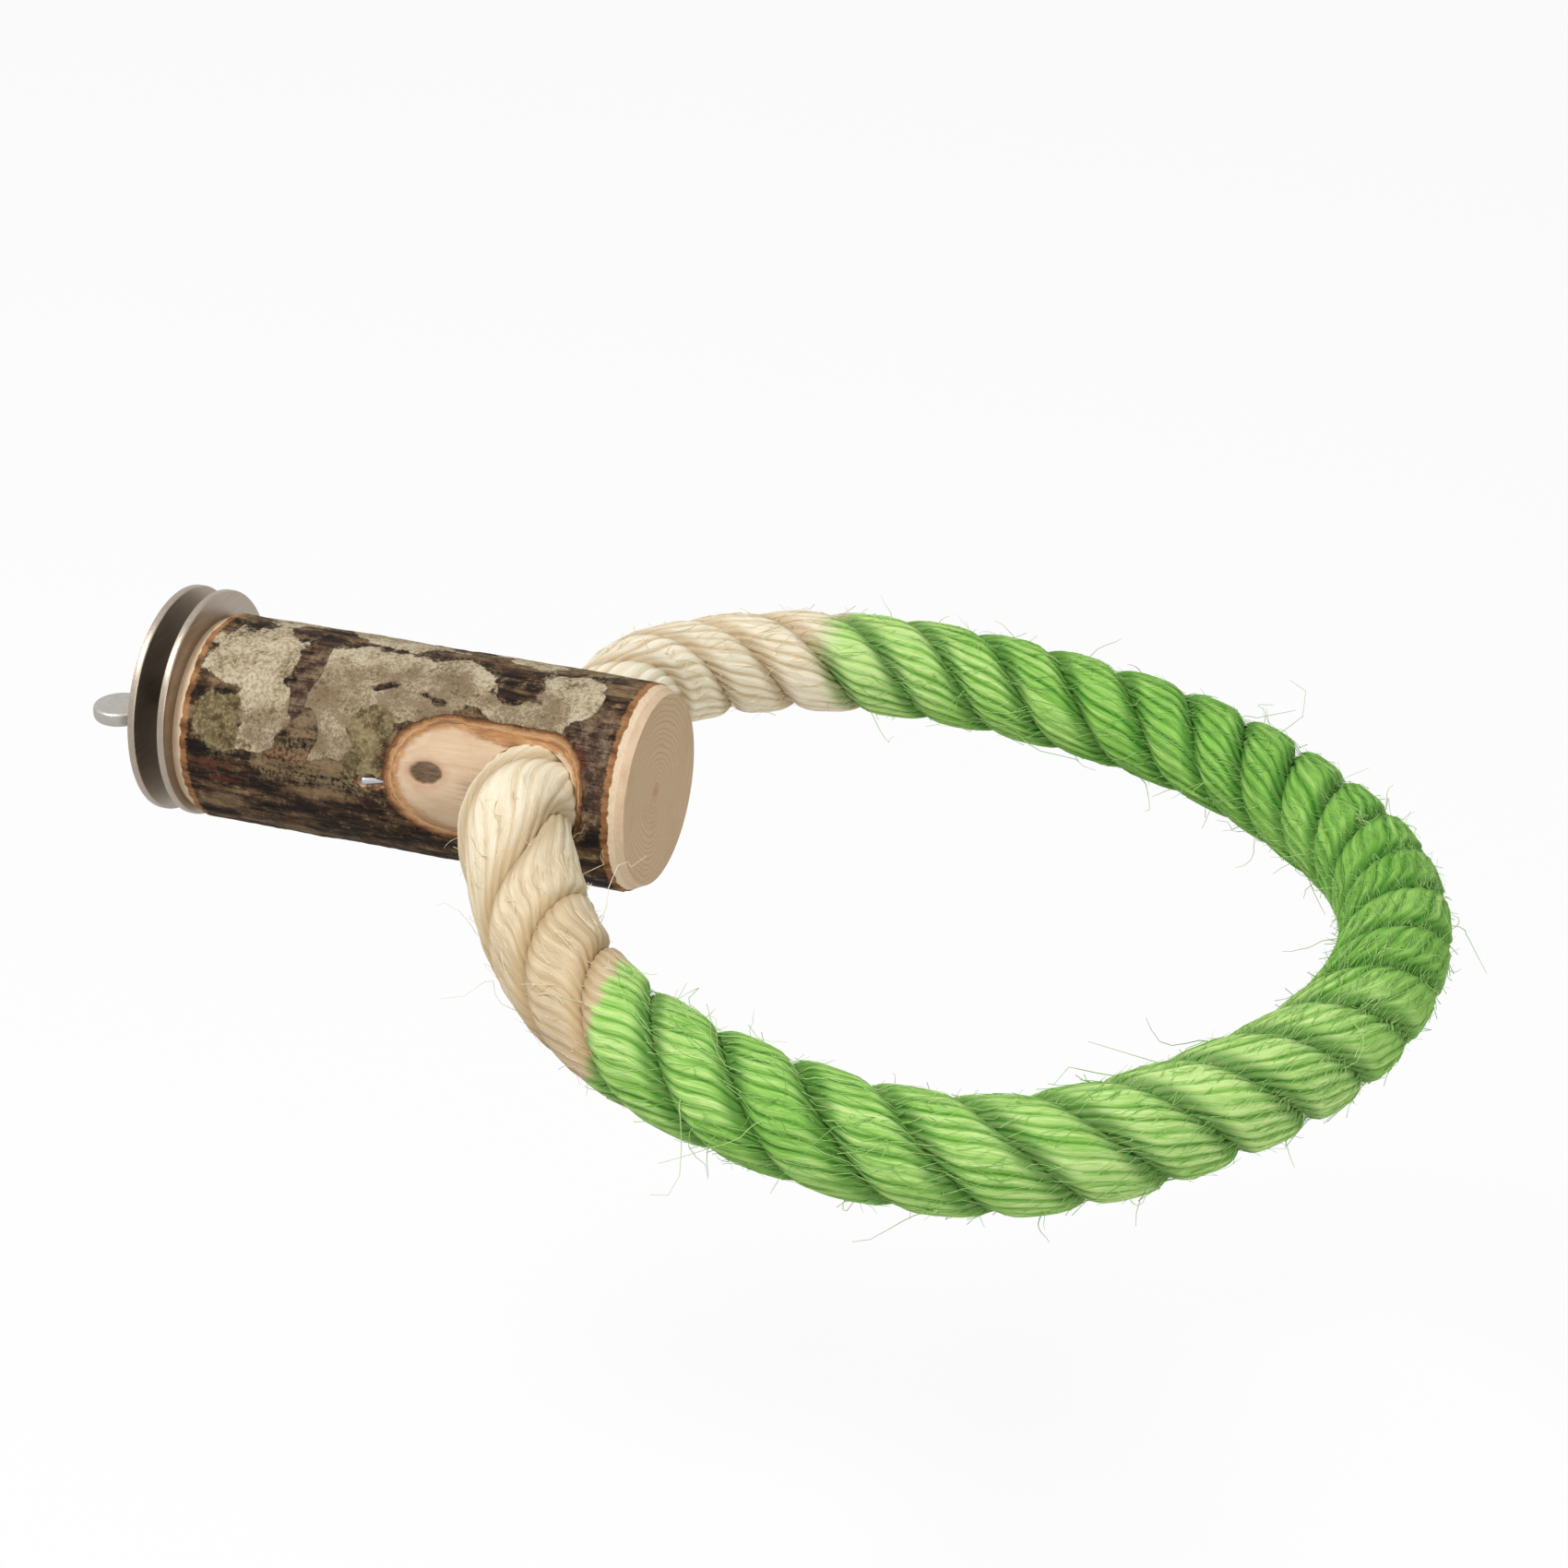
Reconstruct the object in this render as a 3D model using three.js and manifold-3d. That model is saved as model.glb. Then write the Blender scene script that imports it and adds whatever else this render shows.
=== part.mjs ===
// Parrot climbing ring: a short round log with a clamp on one end, which carries a ring of thick rope.
// Millimetres. The origin lies on the bolt's axis, in the clamping face of the front washer. +X runs
// along the log, away from the clamp, and +Z is up.

import * as THREE from 'three';
import { mergeVertices } from 'three/addons/utils/BufferGeometryUtils.js';
import Module from 'manifold-3d';

const wasm = await Module();
wasm.setup();

// Clamp: two washers and the open slot between them
const WASHER_DIAMETER = 40;
const WASHER_THICKNESS = 1.25;
const WASHER_EDGE_ROUND = 0.3;
const WASHER_HOLE_CLEARANCE = 0.2;
const CLAMP_SLOT = 4.4;

// Hanger bolt: machine thread at the tail, wood screw in the log
const BOLT_DIAMETER = 6;
const BOLT_CHAMFER = 0.7;
const BOLT_PAST_NUT = 1.5;
const BOLT_IN_LOG = 4;
const SCREW_DIAMETER = 5;
const SCREW_LENGTH = 32;
const SCREW_POINT = 7;
const SCREW_SEAT_CLEARANCE = 0.1;

// Wing nut: a tapered hub with two rounded ears
const NUT_HUB_HEIGHT = 6;
const NUT_BASE_DIAMETER = 13;
const NUT_TOP_DIAMETER = 10.6;
const NUT_BORE_CLEARANCE = 0.1;
const NUT_SEAT_GAP = 0.05;
const EAR_SPAN = 27.2;
const EAR_TIP_HEIGHT = 12.3;
const EAR_THICKNESS = 2.6;
const EAR_LOBE_DIAMETER = 9.6;
const EAR_LIFT = 0.8;
const EAR_ARC_START = THREE.MathUtils.degToRad(-30);
const EAR_ARC_END = THREE.MathUtils.degToRad(200);

// Log: the wood, and the thin bark round it
const LOG_LENGTH = 83.6;
const LOG_DIAMETER = 36;
const LOG_DROP = 2;
const BARK_THICKNESS = 0.8;
const BARK_SEAM = 0.1;
const WALL_BEVEL_LENGTH = 2.4;
const WALL_BEVEL_DEPTH = 1.1;
const NOSE_BEVEL_LENGTH = 3.2;
const NOSE_BEVEL_DEPTH = 1.5;

// Peeled flat where a side branch was cut off, beside the rope's hole
const FLAT_LENGTH = 38.3;
const FLAT_WIDTH = 22.8;
const FLAT_DEPTH = 2.6;
const FLAT_RAMP = 6.5;
const FLAT_TILT = THREE.MathUtils.degToRad(13);
const FLAT_BEHIND_HOLE = 7.8;

// Rope, its hole across the log and the pins that hold its two ends
const ROPE_DIAMETER = 18;
const ROPE_HOLE_CLEARANCE = 0.35;
const ROPE_HOLE_FROM_WALL_END = 66.15;
const ROPE_HOLE_HEIGHT = -0.3;
const ROPE_END_GAP = 1.2;
const PIN_DIAMETER = 1.4;
const PIN_LENGTH = 30;
const PIN_POINT = 2;
const PIN_SLANT = THREE.MathUtils.degToRad(22);
const PIN_HEAD_ROUND = 0.35;
const PIN_CLEARANCE = 0.3;
const PIN_BEHIND_HOLE = 29.8;

// Facets
const LOG_SIDES = 64;
const ROUND_SIDES = 48;
const SMALL_SIDES = 12;
const ROPE_SIDES = 12;
const ROPE_STEPS = 40;
const EAR_ARC_STEPS = 10;
const CUT_OVERRUN = 5;
const MERGE_DISTANCE = 1e-4;

// Free route of the rope from the near mouth of its hole round to the far one. X and Z are measured
// from the hole's centre, and Y from the middle of the log.
const ROPE_ROUTE = [
  [0, -20, 0],
  [2.6, -27.5, -0.6],
  [7.2, -35, -1.4],
  [16.6, -50, -3.4],
  [29.4, -63.5, -5.6],
  [44.8, -72.5, -7.6],
  [63.3, -77, -9.7],
  [81.5, -77.3, -11.9],
  [98.8, -72.3, -13.4],
  [113.4, -62, -13.5],
  [125.6, -48.1, -13],
  [135.5, -32, -12.7],
  [141.2, -15.1, -12.4],
  [142.8, 3.7, -12.3],
  [139.9, 21.3, -12.7],
  [132.3, 38.6, -13.3],
  [121, 52.5, -13.8],
  [106.5, 65.1, -13.7],
  [90.9, 73.3, -13],
  [72.4, 77, -11.5],
  [54.3, 76.5, -9.4],
  [36.4, 71.9, -6.8],
  [21.1, 63.5, -4.5],
  [7.8, 50.4, -2.2],
  [0.6, 36, -0.6],
  [0, 20, 0],
];

const logRadius = LOG_DIAMETER / 2;
const wallEnd = WASHER_THICKNESS;
const noseEnd = wallEnd + LOG_LENGTH;
const ropeHole = new THREE.Vector3(wallEnd + ROPE_HOLE_FROM_WALL_END, 0, ROPE_HOLE_HEIGHT);
const rearWasherFace = -CLAMP_SLOT;
const nutSeat = rearWasherFace - WASHER_THICKNESS - NUT_SEAT_GAP;
const boltTail = nutSeat - NUT_HUB_HEIGHT - BOLT_PAST_NUT;

// Closed solid of a geometry, with shared corners and without collapsed triangles
function solidOf(geometry) {
  const bare = geometry.clone();
  bare.deleteAttribute('normal');
  bare.deleteAttribute('uv');
  const merged = mergeVertices(bare, MERGE_DISTANCE);
  const index = merged.index.array;
  const kept = [];
  for (let i = 0; i < index.length; i += 3) {
    const [a, b, c] = [index[i], index[i + 1], index[i + 2]];
    if (a !== b && b !== c && c !== a) kept.push(a, b, c);
  }
  const corners = new Float32Array(merged.attributes.position.array);
  return new wasm.Manifold(new wasm.Mesh({
    numProp: 3,
    vertProperties: corners,
    triVerts: new Uint32Array(kept),
  }));
}

function geometryOf(solid) {
  const mesh = solid.getMesh();
  const geometry = new THREE.BufferGeometry();
  geometry.setAttribute('position', new THREE.BufferAttribute(mesh.vertProperties, 3));
  geometry.setIndex(new THREE.BufferAttribute(mesh.triVerts, 1));
  geometry.computeVertexNormals();
  return geometry;
}

// Turned piece round a line parallel to X. The profile is a list of [x, radius], counter-clockwise
// with x to the right and radius up, so that its faces point out.
function turned(profile, sides, height = 0) {
  const points = profile.map(([x, radius]) => new THREE.Vector2(radius, x)).reverse();
  const geometry = new THREE.LatheGeometry(points, sides);
  geometry.rotateZ(-Math.PI / 2);
  geometry.translate(0, 0, height);
  return geometry;
}

// Plain round rod between two points, used for pins and for the holes that are cut
function rod(from, to, radius, sides) {
  const along = new THREE.Vector3().subVectors(to, from);
  const geometry = new THREE.CylinderGeometry(radius, radius, along.length(), sides);
  const turn = new THREE.Quaternion().setFromUnitVectors(
    new THREE.Vector3(0, 1, 0), along.clone().normalize());
  geometry.applyQuaternion(turn);
  const middle = from.clone().add(to).multiplyScalar(0.5);
  geometry.translate(middle.x, middle.y, middle.z);
  return geometry;
}

// Log outline at a given radius: where the bevels at the wall end and at the nose cross it
function bevelStart(radius) {
  const below = Math.max(0, radius - (logRadius - WALL_BEVEL_DEPTH));
  return wallEnd + WALL_BEVEL_LENGTH * below / WALL_BEVEL_DEPTH;
}

function bevelFinish(radius) {
  const below = Math.max(0, radius - (logRadius - NOSE_BEVEL_DEPTH));
  return noseEnd - NOSE_BEVEL_LENGTH * below / NOSE_BEVEL_DEPTH;
}

// Oval plug over the peeled flat, standing out of the log from a floor at a given distance off its axis.
// It has the flat's full outline at the log's surface, and is shorter at the floor by a ramp at each end.
function flatPlug(floor, ramp) {
  const height = logRadius + CUT_OVERRUN - floor;
  const halfLength = FLAT_LENGTH / 2;
  const floorScale = 1 - ramp / halfLength;
  const topScale = floorScale + (1 - floorScale) * height / (logRadius - floor);
  const plug = new THREE.CylinderGeometry(topScale, floorScale, height, ROUND_SIDES);
  plug.scale(halfLength, 1, FLAT_WIDTH / 2);
  plug.translate(0, floor + height / 2, 0);
  plug.rotateX(Math.PI - FLAT_TILT);
  plug.translate(ropeHole.x - FLAT_BEHIND_HOLE, 0, -LOG_DROP);
  return solidOf(plug);
}

function ropeHoleCutter() {
  const reach = logRadius + CUT_OVERRUN;
  const from = new THREE.Vector3(ropeHole.x, -reach, ropeHole.z);
  const to = new THREE.Vector3(ropeHole.x, reach, ropeHole.z);
  return solidOf(rod(from, to, ROPE_DIAMETER / 2 + ROPE_HOLE_CLEARANCE, ROUND_SIDES));
}

// Axis of the pin on one side of the log, from its head in the log's surface: -1 is the near side, 1 the
// far one
function pinLine(side) {
  const surface = Math.sqrt(logRadius ** 2 - (ropeHole.z + LOG_DROP) ** 2);
  const head = new THREE.Vector3(ropeHole.x - PIN_BEHIND_HOLE, side * surface, ropeHole.z);
  const along = new THREE.Vector3(Math.cos(PIN_SLANT), -side * Math.sin(PIN_SLANT), 0);
  return { head, along };
}

function pinCutter(side) {
  const { head, along } = pinLine(side);
  const from = head.clone().addScaledVector(along, -CUT_OVERRUN);
  const to = head.clone().addScaledVector(along, PIN_LENGTH + PIN_CLEARANCE);
  return solidOf(rod(from, to, PIN_DIAMETER / 2 + PIN_CLEARANCE, SMALL_SIDES));
}

function boltProfile(extra) {
  const thread = BOLT_DIAMETER / 2 + extra;
  const core = SCREW_DIAMETER / 2 + extra;
  const shoulder = wallEnd + BOLT_IN_LOG + extra;
  const tip = wallEnd + BOLT_IN_LOG + SCREW_LENGTH + extra;
  return [
    [boltTail, 0],
    [tip, 0],
    [tip - SCREW_POINT, core],
    [shoulder, core],
    [shoulder, thread],
    [boltTail + BOLT_CHAMFER, thread],
    [boltTail, thread - BOLT_CHAMFER],
    [boltTail, 0],
  ];
}

function makeWood() {
  const radius = logRadius - BARK_THICKNESS - BARK_SEAM;
  const wallFace = Math.min(radius, logRadius - WALL_BEVEL_DEPTH);
  const noseFace = Math.min(radius, logRadius - NOSE_BEVEL_DEPTH);
  const log = solidOf(turned([
    [wallEnd, 0],
    [noseEnd, 0],
    [noseEnd, noseFace],
    [bevelFinish(radius), radius],
    [bevelStart(radius), radius],
    [wallEnd, wallFace],
    [wallEnd, 0],
  ], LOG_SIDES, -LOG_DROP));
  const pilot = solidOf(turned(boltProfile(SCREW_SEAT_CLEARANCE), ROUND_SIDES));
  return geometryOf(log
    .subtract(pilot)
    .subtract(flatPlug(logRadius - FLAT_DEPTH, FLAT_RAMP))
    .subtract(ropeHoleCutter())
    .subtract(pinCutter(-1))
    .subtract(pinCutter(1)));
}

function makeBark() {
  const inner = logRadius - BARK_THICKNESS;
  const sleeve = solidOf(turned([
    [bevelStart(inner), inner],
    [bevelFinish(inner), inner],
    [bevelFinish(logRadius), logRadius],
    [bevelStart(logRadius), logRadius],
    [bevelStart(inner), inner],
  ], LOG_SIDES, -LOG_DROP));
  return geometryOf(sleeve
    .subtract(flatPlug(0, 0))
    .subtract(ropeHoleCutter())
    .subtract(pinCutter(-1))
    .subtract(pinCutter(1)));
}

function makeRope() {
  const ends = [-1, 1].map((side) => [0, side * ROPE_END_GAP / 2, 0]);
  const points = [ends[0], ...ROPE_ROUTE, ends[1]].map(([x, y, z]) =>
    new THREE.Vector3(ropeHole.x + x, y, ropeHole.z + z));
  const route = new THREE.CatmullRomCurve3(points, false, 'centripetal');
  const section = new THREE.Shape();
  for (let i = 0; i < ROPE_SIDES; i += 1) {
    const angle = 2 * Math.PI * i / ROPE_SIDES;
    const x = ROPE_DIAMETER / 2 * Math.cos(angle);
    const y = ROPE_DIAMETER / 2 * Math.sin(angle);
    if (i === 0) section.moveTo(x, y);
    else section.lineTo(x, y);
  }
  const tube = new THREE.ExtrudeGeometry(section, { steps: ROPE_STEPS, extrudePath: route });
  return geometryOf(solidOf(tube).subtract(pinCutter(-1)).subtract(pinCutter(1)));
}

// Brad with a rounded head and a sharp point, driven aslant through the wood into the rope's end
function makePin(side) {
  const radius = PIN_DIAMETER / 2;
  const profile = [
    [0, 0],
    [PIN_LENGTH, 0],
    [PIN_LENGTH - PIN_POINT, radius],
    [PIN_HEAD_ROUND, radius],
    [0, radius - PIN_HEAD_ROUND],
    [0, 0],
  ];
  const geometry = turned(profile, SMALL_SIDES);
  const { head, along } = pinLine(side);
  geometry.applyQuaternion(new THREE.Quaternion().setFromUnitVectors(new THREE.Vector3(1, 0, 0), along));
  geometry.translate(head.x, head.y, head.z);
  return geometry;
}

function makeWasher(face) {
  const outer = WASHER_DIAMETER / 2;
  const hole = BOLT_DIAMETER / 2 + WASHER_HOLE_CLEARANCE;
  const round = WASHER_EDGE_ROUND;
  const [left, right] = [face, face + WASHER_THICKNESS];
  return turned([
    [left, hole],
    [right, hole],
    [right, outer - round],
    [right - round, outer],
    [left + round, outer],
    [left, outer - round],
    [left, hole],
  ], ROUND_SIDES);
}

function makeBolt() {
  return turned(boltProfile(0), ROUND_SIDES);
}

// Ear outline: distance from the bolt's axis across the page, height over the nut's seat up the page
function earOutline() {
  const lobe = EAR_LOBE_DIAMETER / 2;
  const [lobeOut, lobeUp] = [EAR_SPAN / 2 - lobe, EAR_TIP_HEIGHT - lobe];
  const inside = BOLT_DIAMETER / 2 + NUT_BORE_CLEARANCE;
  const outline = new THREE.Shape();
  outline.moveTo(inside, EAR_LIFT);
  outline.lineTo(NUT_BASE_DIAMETER / 2, EAR_LIFT);
  outline.quadraticCurveTo(
    lobeOut + lobe / 2, EAR_LIFT,
    lobeOut + lobe * Math.cos(EAR_ARC_START), lobeUp + lobe * Math.sin(EAR_ARC_START));
  outline.absarc(lobeOut, lobeUp, lobe, EAR_ARC_START, EAR_ARC_END, false);
  outline.lineTo(inside, NUT_HUB_HEIGHT - EAR_LIFT);
  outline.closePath();
  return outline;
}

function makeWingNut() {
  const [base, top] = [NUT_BASE_DIAMETER / 2, NUT_TOP_DIAMETER / 2];
  const bore = BOLT_DIAMETER / 2 + NUT_BORE_CLEARANCE;
  const hub = solidOf(turned([
    [nutSeat - NUT_HUB_HEIGHT, 0],
    [nutSeat, 0],
    [nutSeat, base],
    [nutSeat - NUT_HUB_HEIGHT, top],
    [nutSeat - NUT_HUB_HEIGHT, 0],
  ], ROUND_SIDES));
  const ear = new THREE.ExtrudeGeometry(earOutline(), {
    depth: EAR_THICKNESS,
    bevelEnabled: false,
    curveSegments: EAR_ARC_STEPS,
  });
  ear.translate(0, 0, -EAR_THICKNESS / 2);
  ear.rotateZ(Math.PI / 2);
  ear.translate(nutSeat, 0, 0);
  const farEar = solidOf(ear);
  const nearEar = solidOf(ear.clone().rotateX(Math.PI));
  const through = solidOf(rod(
    new THREE.Vector3(nutSeat - EAR_TIP_HEIGHT - CUT_OVERRUN, 0, 0),
    new THREE.Vector3(nutSeat + CUT_OVERRUN, 0, 0), bore, ROUND_SIDES));
  return geometryOf(hub.add(farEar).add(nearEar).subtract(through));
}

function finish(color, roughness, metalness) {
  return new THREE.MeshStandardMaterial({ color, roughness, metalness });
}

const wood = finish(0xdcc09c, 0.65, 0);
const bark = finish(0x8f8470, 0.9, 0);
const sisal = finish(0x63ac4a, 0.85, 0);
const steel = finish(0x8f867c, 0.35, 1);
const zinc = finish(0xb4b2ac, 0.4, 1);

const ring = new THREE.Group();

function place(name, geometry, material) {
  const mesh = new THREE.Mesh(geometry, material);
  mesh.name = name;
  ring.add(mesh);
}

place('peg_wood', makeWood(), wood);
place('peg_bark', makeBark(), bark);
place('rope_ring', makeRope(), sisal);
place('rope_pin_near', makePin(-1), zinc);
place('rope_pin_far', makePin(1), zinc);
place('hanger_bolt', makeBolt(), zinc);
place('front_washer', makeWasher(0), steel);
place('rear_washer', makeWasher(rearWasherFace - WASHER_THICKNESS), steel);
place('wing_nut', makeWingNut(), zinc);

export default ring;
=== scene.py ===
# Parrot climbing ring: the looks of every piece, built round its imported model.
# Metres, +Z up, in the model's own frame. Lengths below are written as millimetres times MM.

import math

import bmesh
import bpy
import numpy as np
from mathutils import Matrix, Vector


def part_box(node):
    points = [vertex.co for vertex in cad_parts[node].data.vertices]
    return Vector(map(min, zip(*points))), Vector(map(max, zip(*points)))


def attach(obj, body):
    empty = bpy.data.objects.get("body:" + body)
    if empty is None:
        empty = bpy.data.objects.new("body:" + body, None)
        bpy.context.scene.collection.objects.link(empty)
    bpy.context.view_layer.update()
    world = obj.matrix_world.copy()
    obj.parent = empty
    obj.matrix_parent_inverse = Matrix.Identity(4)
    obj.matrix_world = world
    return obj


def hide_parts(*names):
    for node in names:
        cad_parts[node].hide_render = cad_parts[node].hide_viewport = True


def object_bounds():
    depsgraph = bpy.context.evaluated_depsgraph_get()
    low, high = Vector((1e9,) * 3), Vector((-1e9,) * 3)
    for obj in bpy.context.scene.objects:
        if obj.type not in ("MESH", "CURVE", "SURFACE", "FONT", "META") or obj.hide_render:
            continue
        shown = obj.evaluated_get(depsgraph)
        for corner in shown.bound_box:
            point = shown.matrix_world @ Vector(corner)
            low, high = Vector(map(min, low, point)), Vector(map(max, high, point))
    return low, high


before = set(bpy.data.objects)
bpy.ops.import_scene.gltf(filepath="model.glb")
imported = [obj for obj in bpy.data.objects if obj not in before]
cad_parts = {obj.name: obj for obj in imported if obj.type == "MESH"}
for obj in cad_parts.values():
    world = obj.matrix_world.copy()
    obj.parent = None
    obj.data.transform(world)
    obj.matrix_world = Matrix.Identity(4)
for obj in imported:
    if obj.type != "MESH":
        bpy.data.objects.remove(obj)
cad_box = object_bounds()

MM = 0.001
UP = (0.0, 0.0, 1.0)
DOUBLED = 1e-7

# Camera
CAMERA_TARGET = Vector((107.21, 0, 3.18)) * MM
CAMERA_DISTANCE = 614.014 * MM
CAMERA_AZIMUTH = math.radians(19.2752)
CAMERA_ELEVATION = math.radians(26.8808)
CAMERA_ROLL = math.radians(0.8022)
CAMERA_LENS = 84.22
CAMERA_SENSOR = 36.0

# Rope: three strands of yarns, each strand an oval that is wider than it is high
ROPE_DIAMETER = 18 * MM
ROPE_LAY = 40 * MM
ROPE_PATH_STEP = 1 * MM
ROPE_HOLE_CLEARANCE = 0.35 * MM
STRANDS = 3
STRAND_CENTRE = 4.95 * MM
STRAND_HALF_HEIGHT = 4.25 * MM
STRAND_HALF_WIDTH = 6.25 * MM
STRAND_ROWS = 480
YARNS = 17
YARN_SIDES = 4
YARN_LAY = 30.5 * MM
YARN_GROOVE = 0.6 * MM
YARN_LUMP = 0.14 * MM
LUMPS_PER_METRE = 90.0
SWELLS_PER_METRE = 30.0
SWELL_SIZE = 0.08
SWELL_TURN = 0.35

# What changes along the rope, by the distance from its near end unless the name says from its end.
# A change is (where it starts, where it stops, value before it, value after it).
DYE_NEAR = 80 * MM
DYE_NEAR_SLANT = 6 * MM
DYE_NEAR_BLUR = MM
DYE_FAR_FROM_END = 80 * MM
DYE_FAR_SLANT = 7.2 * MM
DYE_FAR_LIFT = 4.7 * MM
DYE_FAR_BLUR = 4 * MM
SLACK_TURNS = [(35 * MM, 100 * MM, 0.9, 0.0), (14 * MM, 52 * MM, 2.4, 0.0)]
YARN_TURNS = [(60 * MM, 150 * MM, 0.0, 3.6), (14 * MM, 56 * MM, 4.2, 0.0)]
FAINT_GROOVES = (70 * MM, 100 * MM, 0.6, 1.0)
SQUEEZED = (40 * MM, 105 * MM, 0.16, 0.0)
SQUEEZED_FROM_END = (34 * MM, 54 * MM, 0.16, 0.0)
BRUSHED = [length * MM for length in (208, 238, 262, 295)]

# Fibres that lie along the yarns or stand off them
HAIR_POINTS = 8
HAIR_SIDES = 3
HAIR_TAPER = 0.6
LYING_FROM_END = 27 * MM
LOOSE_FROM_END = 18.5 * MM

# The rope's route from the middle of its hole, out of the near mouth, round and back in at the far
# one. X and Z are measured from the hole's centre, and Y from the middle of the log.
ROPE_HOLE = Vector((67.4, 0, -0.3)) * MM
ROPE_ROUTE = [
    (0, -0.6, 0), (0, -20, 0), (2.6, -27.5, -0.6), (7.2, -35, -1.4), (16.6, -50, -3.4),
    (29.4, -63.5, -5.6), (44.8, -72.5, -7.6), (63.3, -77, -9.7), (81.5, -77.3, -11.9),
    (98.8, -72.3, -13.4), (113.4, -62, -13.5), (125.6, -48.1, -13), (135.5, -32, -12.7),
    (141.2, -15.1, -12.4), (142.8, 3.7, -12.3), (139.9, 21.3, -12.7), (132.3, 38.6, -13.3),
    (121, 52.5, -13.8), (106.5, 65.1, -13.7), (90.9, 73.3, -13), (72.4, 77, -11.5),
    (54.3, 76.5, -9.4), (36.4, 71.9, -6.8), (21.1, 63.5, -4.5), (7.8, 50.4, -2.2),
    (0.6, 36, -0.6), (0, 20, 0), (0, 0.6, 0),
]

# Log
LOG_AXIS_HEIGHT = -2 * MM
LOG_RADIUS = 18 * MM
LOG_WALL_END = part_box("peg_wood")[0].x
LOG_NOSE_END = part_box("peg_wood")[1].x
WOOD_RADIUS = 17.13 * MM
BARK_INNER_RADIUS = 17.16 * MM
WALL_BEVEL_LENGTH = 2.4 * MM
WALL_BEVEL_DEPTH = 1.1 * MM
NOSE_BEVEL_LENGTH = 3.2 * MM
NOSE_BEVEL_DEPTH = 1.5 * MM
PITH = Vector((0, -1.8, -1.45)) * MM
GROWTH_RING = 0.95 * MM

# Peeled flat, measured from the log's axis towards the flat (height), up along it (side) and
# along X
FLAT_TILT = math.radians(13)
FLAT_FLOOR = 15.4 * MM
FLAT_CROWN = 0.0113 / MM
FLAT_HALF_WIDTH = 11.4 * MM
FLAT_LEFT = 39.2 * MM + LOG_WALL_END
FLAT_RIGHT = 77 * MM + LOG_WALL_END
FLAT_LEFT_RAMP = 13 * MM
FLAT_RIGHT_RAMP = 8.5 * MM
KNOT_X = 47.2 * MM + LOG_WALL_END
KNOT_SIDE = 0.3 * MM
KNOT_HALF_LENGTH = 2.8 * MM
KNOT_HALF_WIDTH = 1.95 * MM
TORN_X = 64.5 * MM + LOG_WALL_END
TORN_SIDE = 9.2 * MM
TORN_HALF_LENGTH = 11 * MM
TORN_HALF_WIDTH = 2.4 * MM
DARK_PATCH_X = 56.5 * MM + LOG_WALL_END
DARK_PATCH_SIDE = -1.5 * MM
DARK_PATCH_HALF_LENGTH = 4.5 * MM
DARK_PATCH_HALF_WIDTH = 3.2 * MM

# Pins that hold the rope's ends
PIN_RADIUS = 0.7 * MM
PIN_LENGTH = 30 * MM
PIN_POINT = 2 * MM
PIN_DOME = 0.45 * MM
PIN_SLANT = math.radians(22)
PIN_BEHIND_HOLE = 29.8 * MM
GROOVE_HALF_LENGTH = 2.9 * MM
GROOVE_HALF_WIDTH = 1.55 * MM

# Clamp
BOLT_RADIUS = 3 * MM
THREAD_PITCH = 1 * MM
THREAD_DEPTH = 0.61 * MM
BOLT_SHOULDER = LOG_WALL_END + 4 * MM
SCREW_PITCH = 2.4 * MM
SCREW_CORE = 1.9 * MM
SCREW_RIDGE = 0.55 * MM
SCREW_POINT = 7 * MM
PILOT_RADIUS = 2.5 * MM

# Floor and surroundings
BACKGROUND_WHITE = 1.0
FLOOR_DROP = 150 * MM
FLOOR_HALF_SIZE = 6.0
SURROUND_LIGHT = 0.42


def srgb(red, green, blue):
    """Linear colour of an sRGB one that is given from 0 to 255."""
    linear = [
        c / 255 / 12.92 if c <= 10 else ((c / 255 + 0.055) / 1.055) ** 2.4
        for c in (red, green, blue)
    ]
    return (*linear, 1.0)


def maths(operation, reflected=False):
    """Method of a Value that adds the node for an operation on it and any others."""

    def method(self, *others):
        operands = (*others, self) if reflected else (self, *others)
        return self.graph.math(operation, *operands)

    return method


class Value:
    """A node socket in a Python expression, which adds Math or Vector Math nodes to its tree."""

    def __init__(self, graph, socket):
        self.graph = graph
        self.socket = socket

    def out(self, name):
        return Value(self.graph, live(self.socket.node.outputs, name))

    __add__, __radd__ = maths("ADD"), maths("ADD", True)
    __sub__, __rsub__ = maths("SUBTRACT"), maths("SUBTRACT", True)
    __mul__, __rmul__ = maths("MULTIPLY"), maths("MULTIPLY", True)
    __truediv__, __rtruediv__ = maths("DIVIDE"), maths("DIVIDE", True)
    __pow__, __abs__ = maths("POWER"), maths("ABSOLUTE")
    __lt__, __gt__ = maths("LESS_THAN"), maths("GREATER_THAN")
    sin, cos = maths("SINE"), maths("COSINE")
    floor, fraction = maths("FLOOR"), maths("FRACT")
    at_least, at_most = maths("MAXIMUM"), maths("MINIMUM")
    dot, cross = maths("DOT_PRODUCT"), maths("CROSS_PRODUCT")
    unit, length = maths("NORMALIZE"), maths("LENGTH")

    def step(self, low, high, start=0.0, end=1.0):
        """From start to end, smoothly, as this value goes from low to high."""
        return self.graph.add(
            "ShaderNodeMapRange",
            {"interpolation_type": "SMOOTHSTEP"},
            {"Value": self, "From Min": low, "From Max": high, "To Min": start, "To Max": end},
        )

    def parts(self):
        """Its three coordinates."""
        split = self.graph.add("ShaderNodeSeparateXYZ", inputs={"Vector": self})
        return split, split.out("Y"), split.out("Z")


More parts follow.
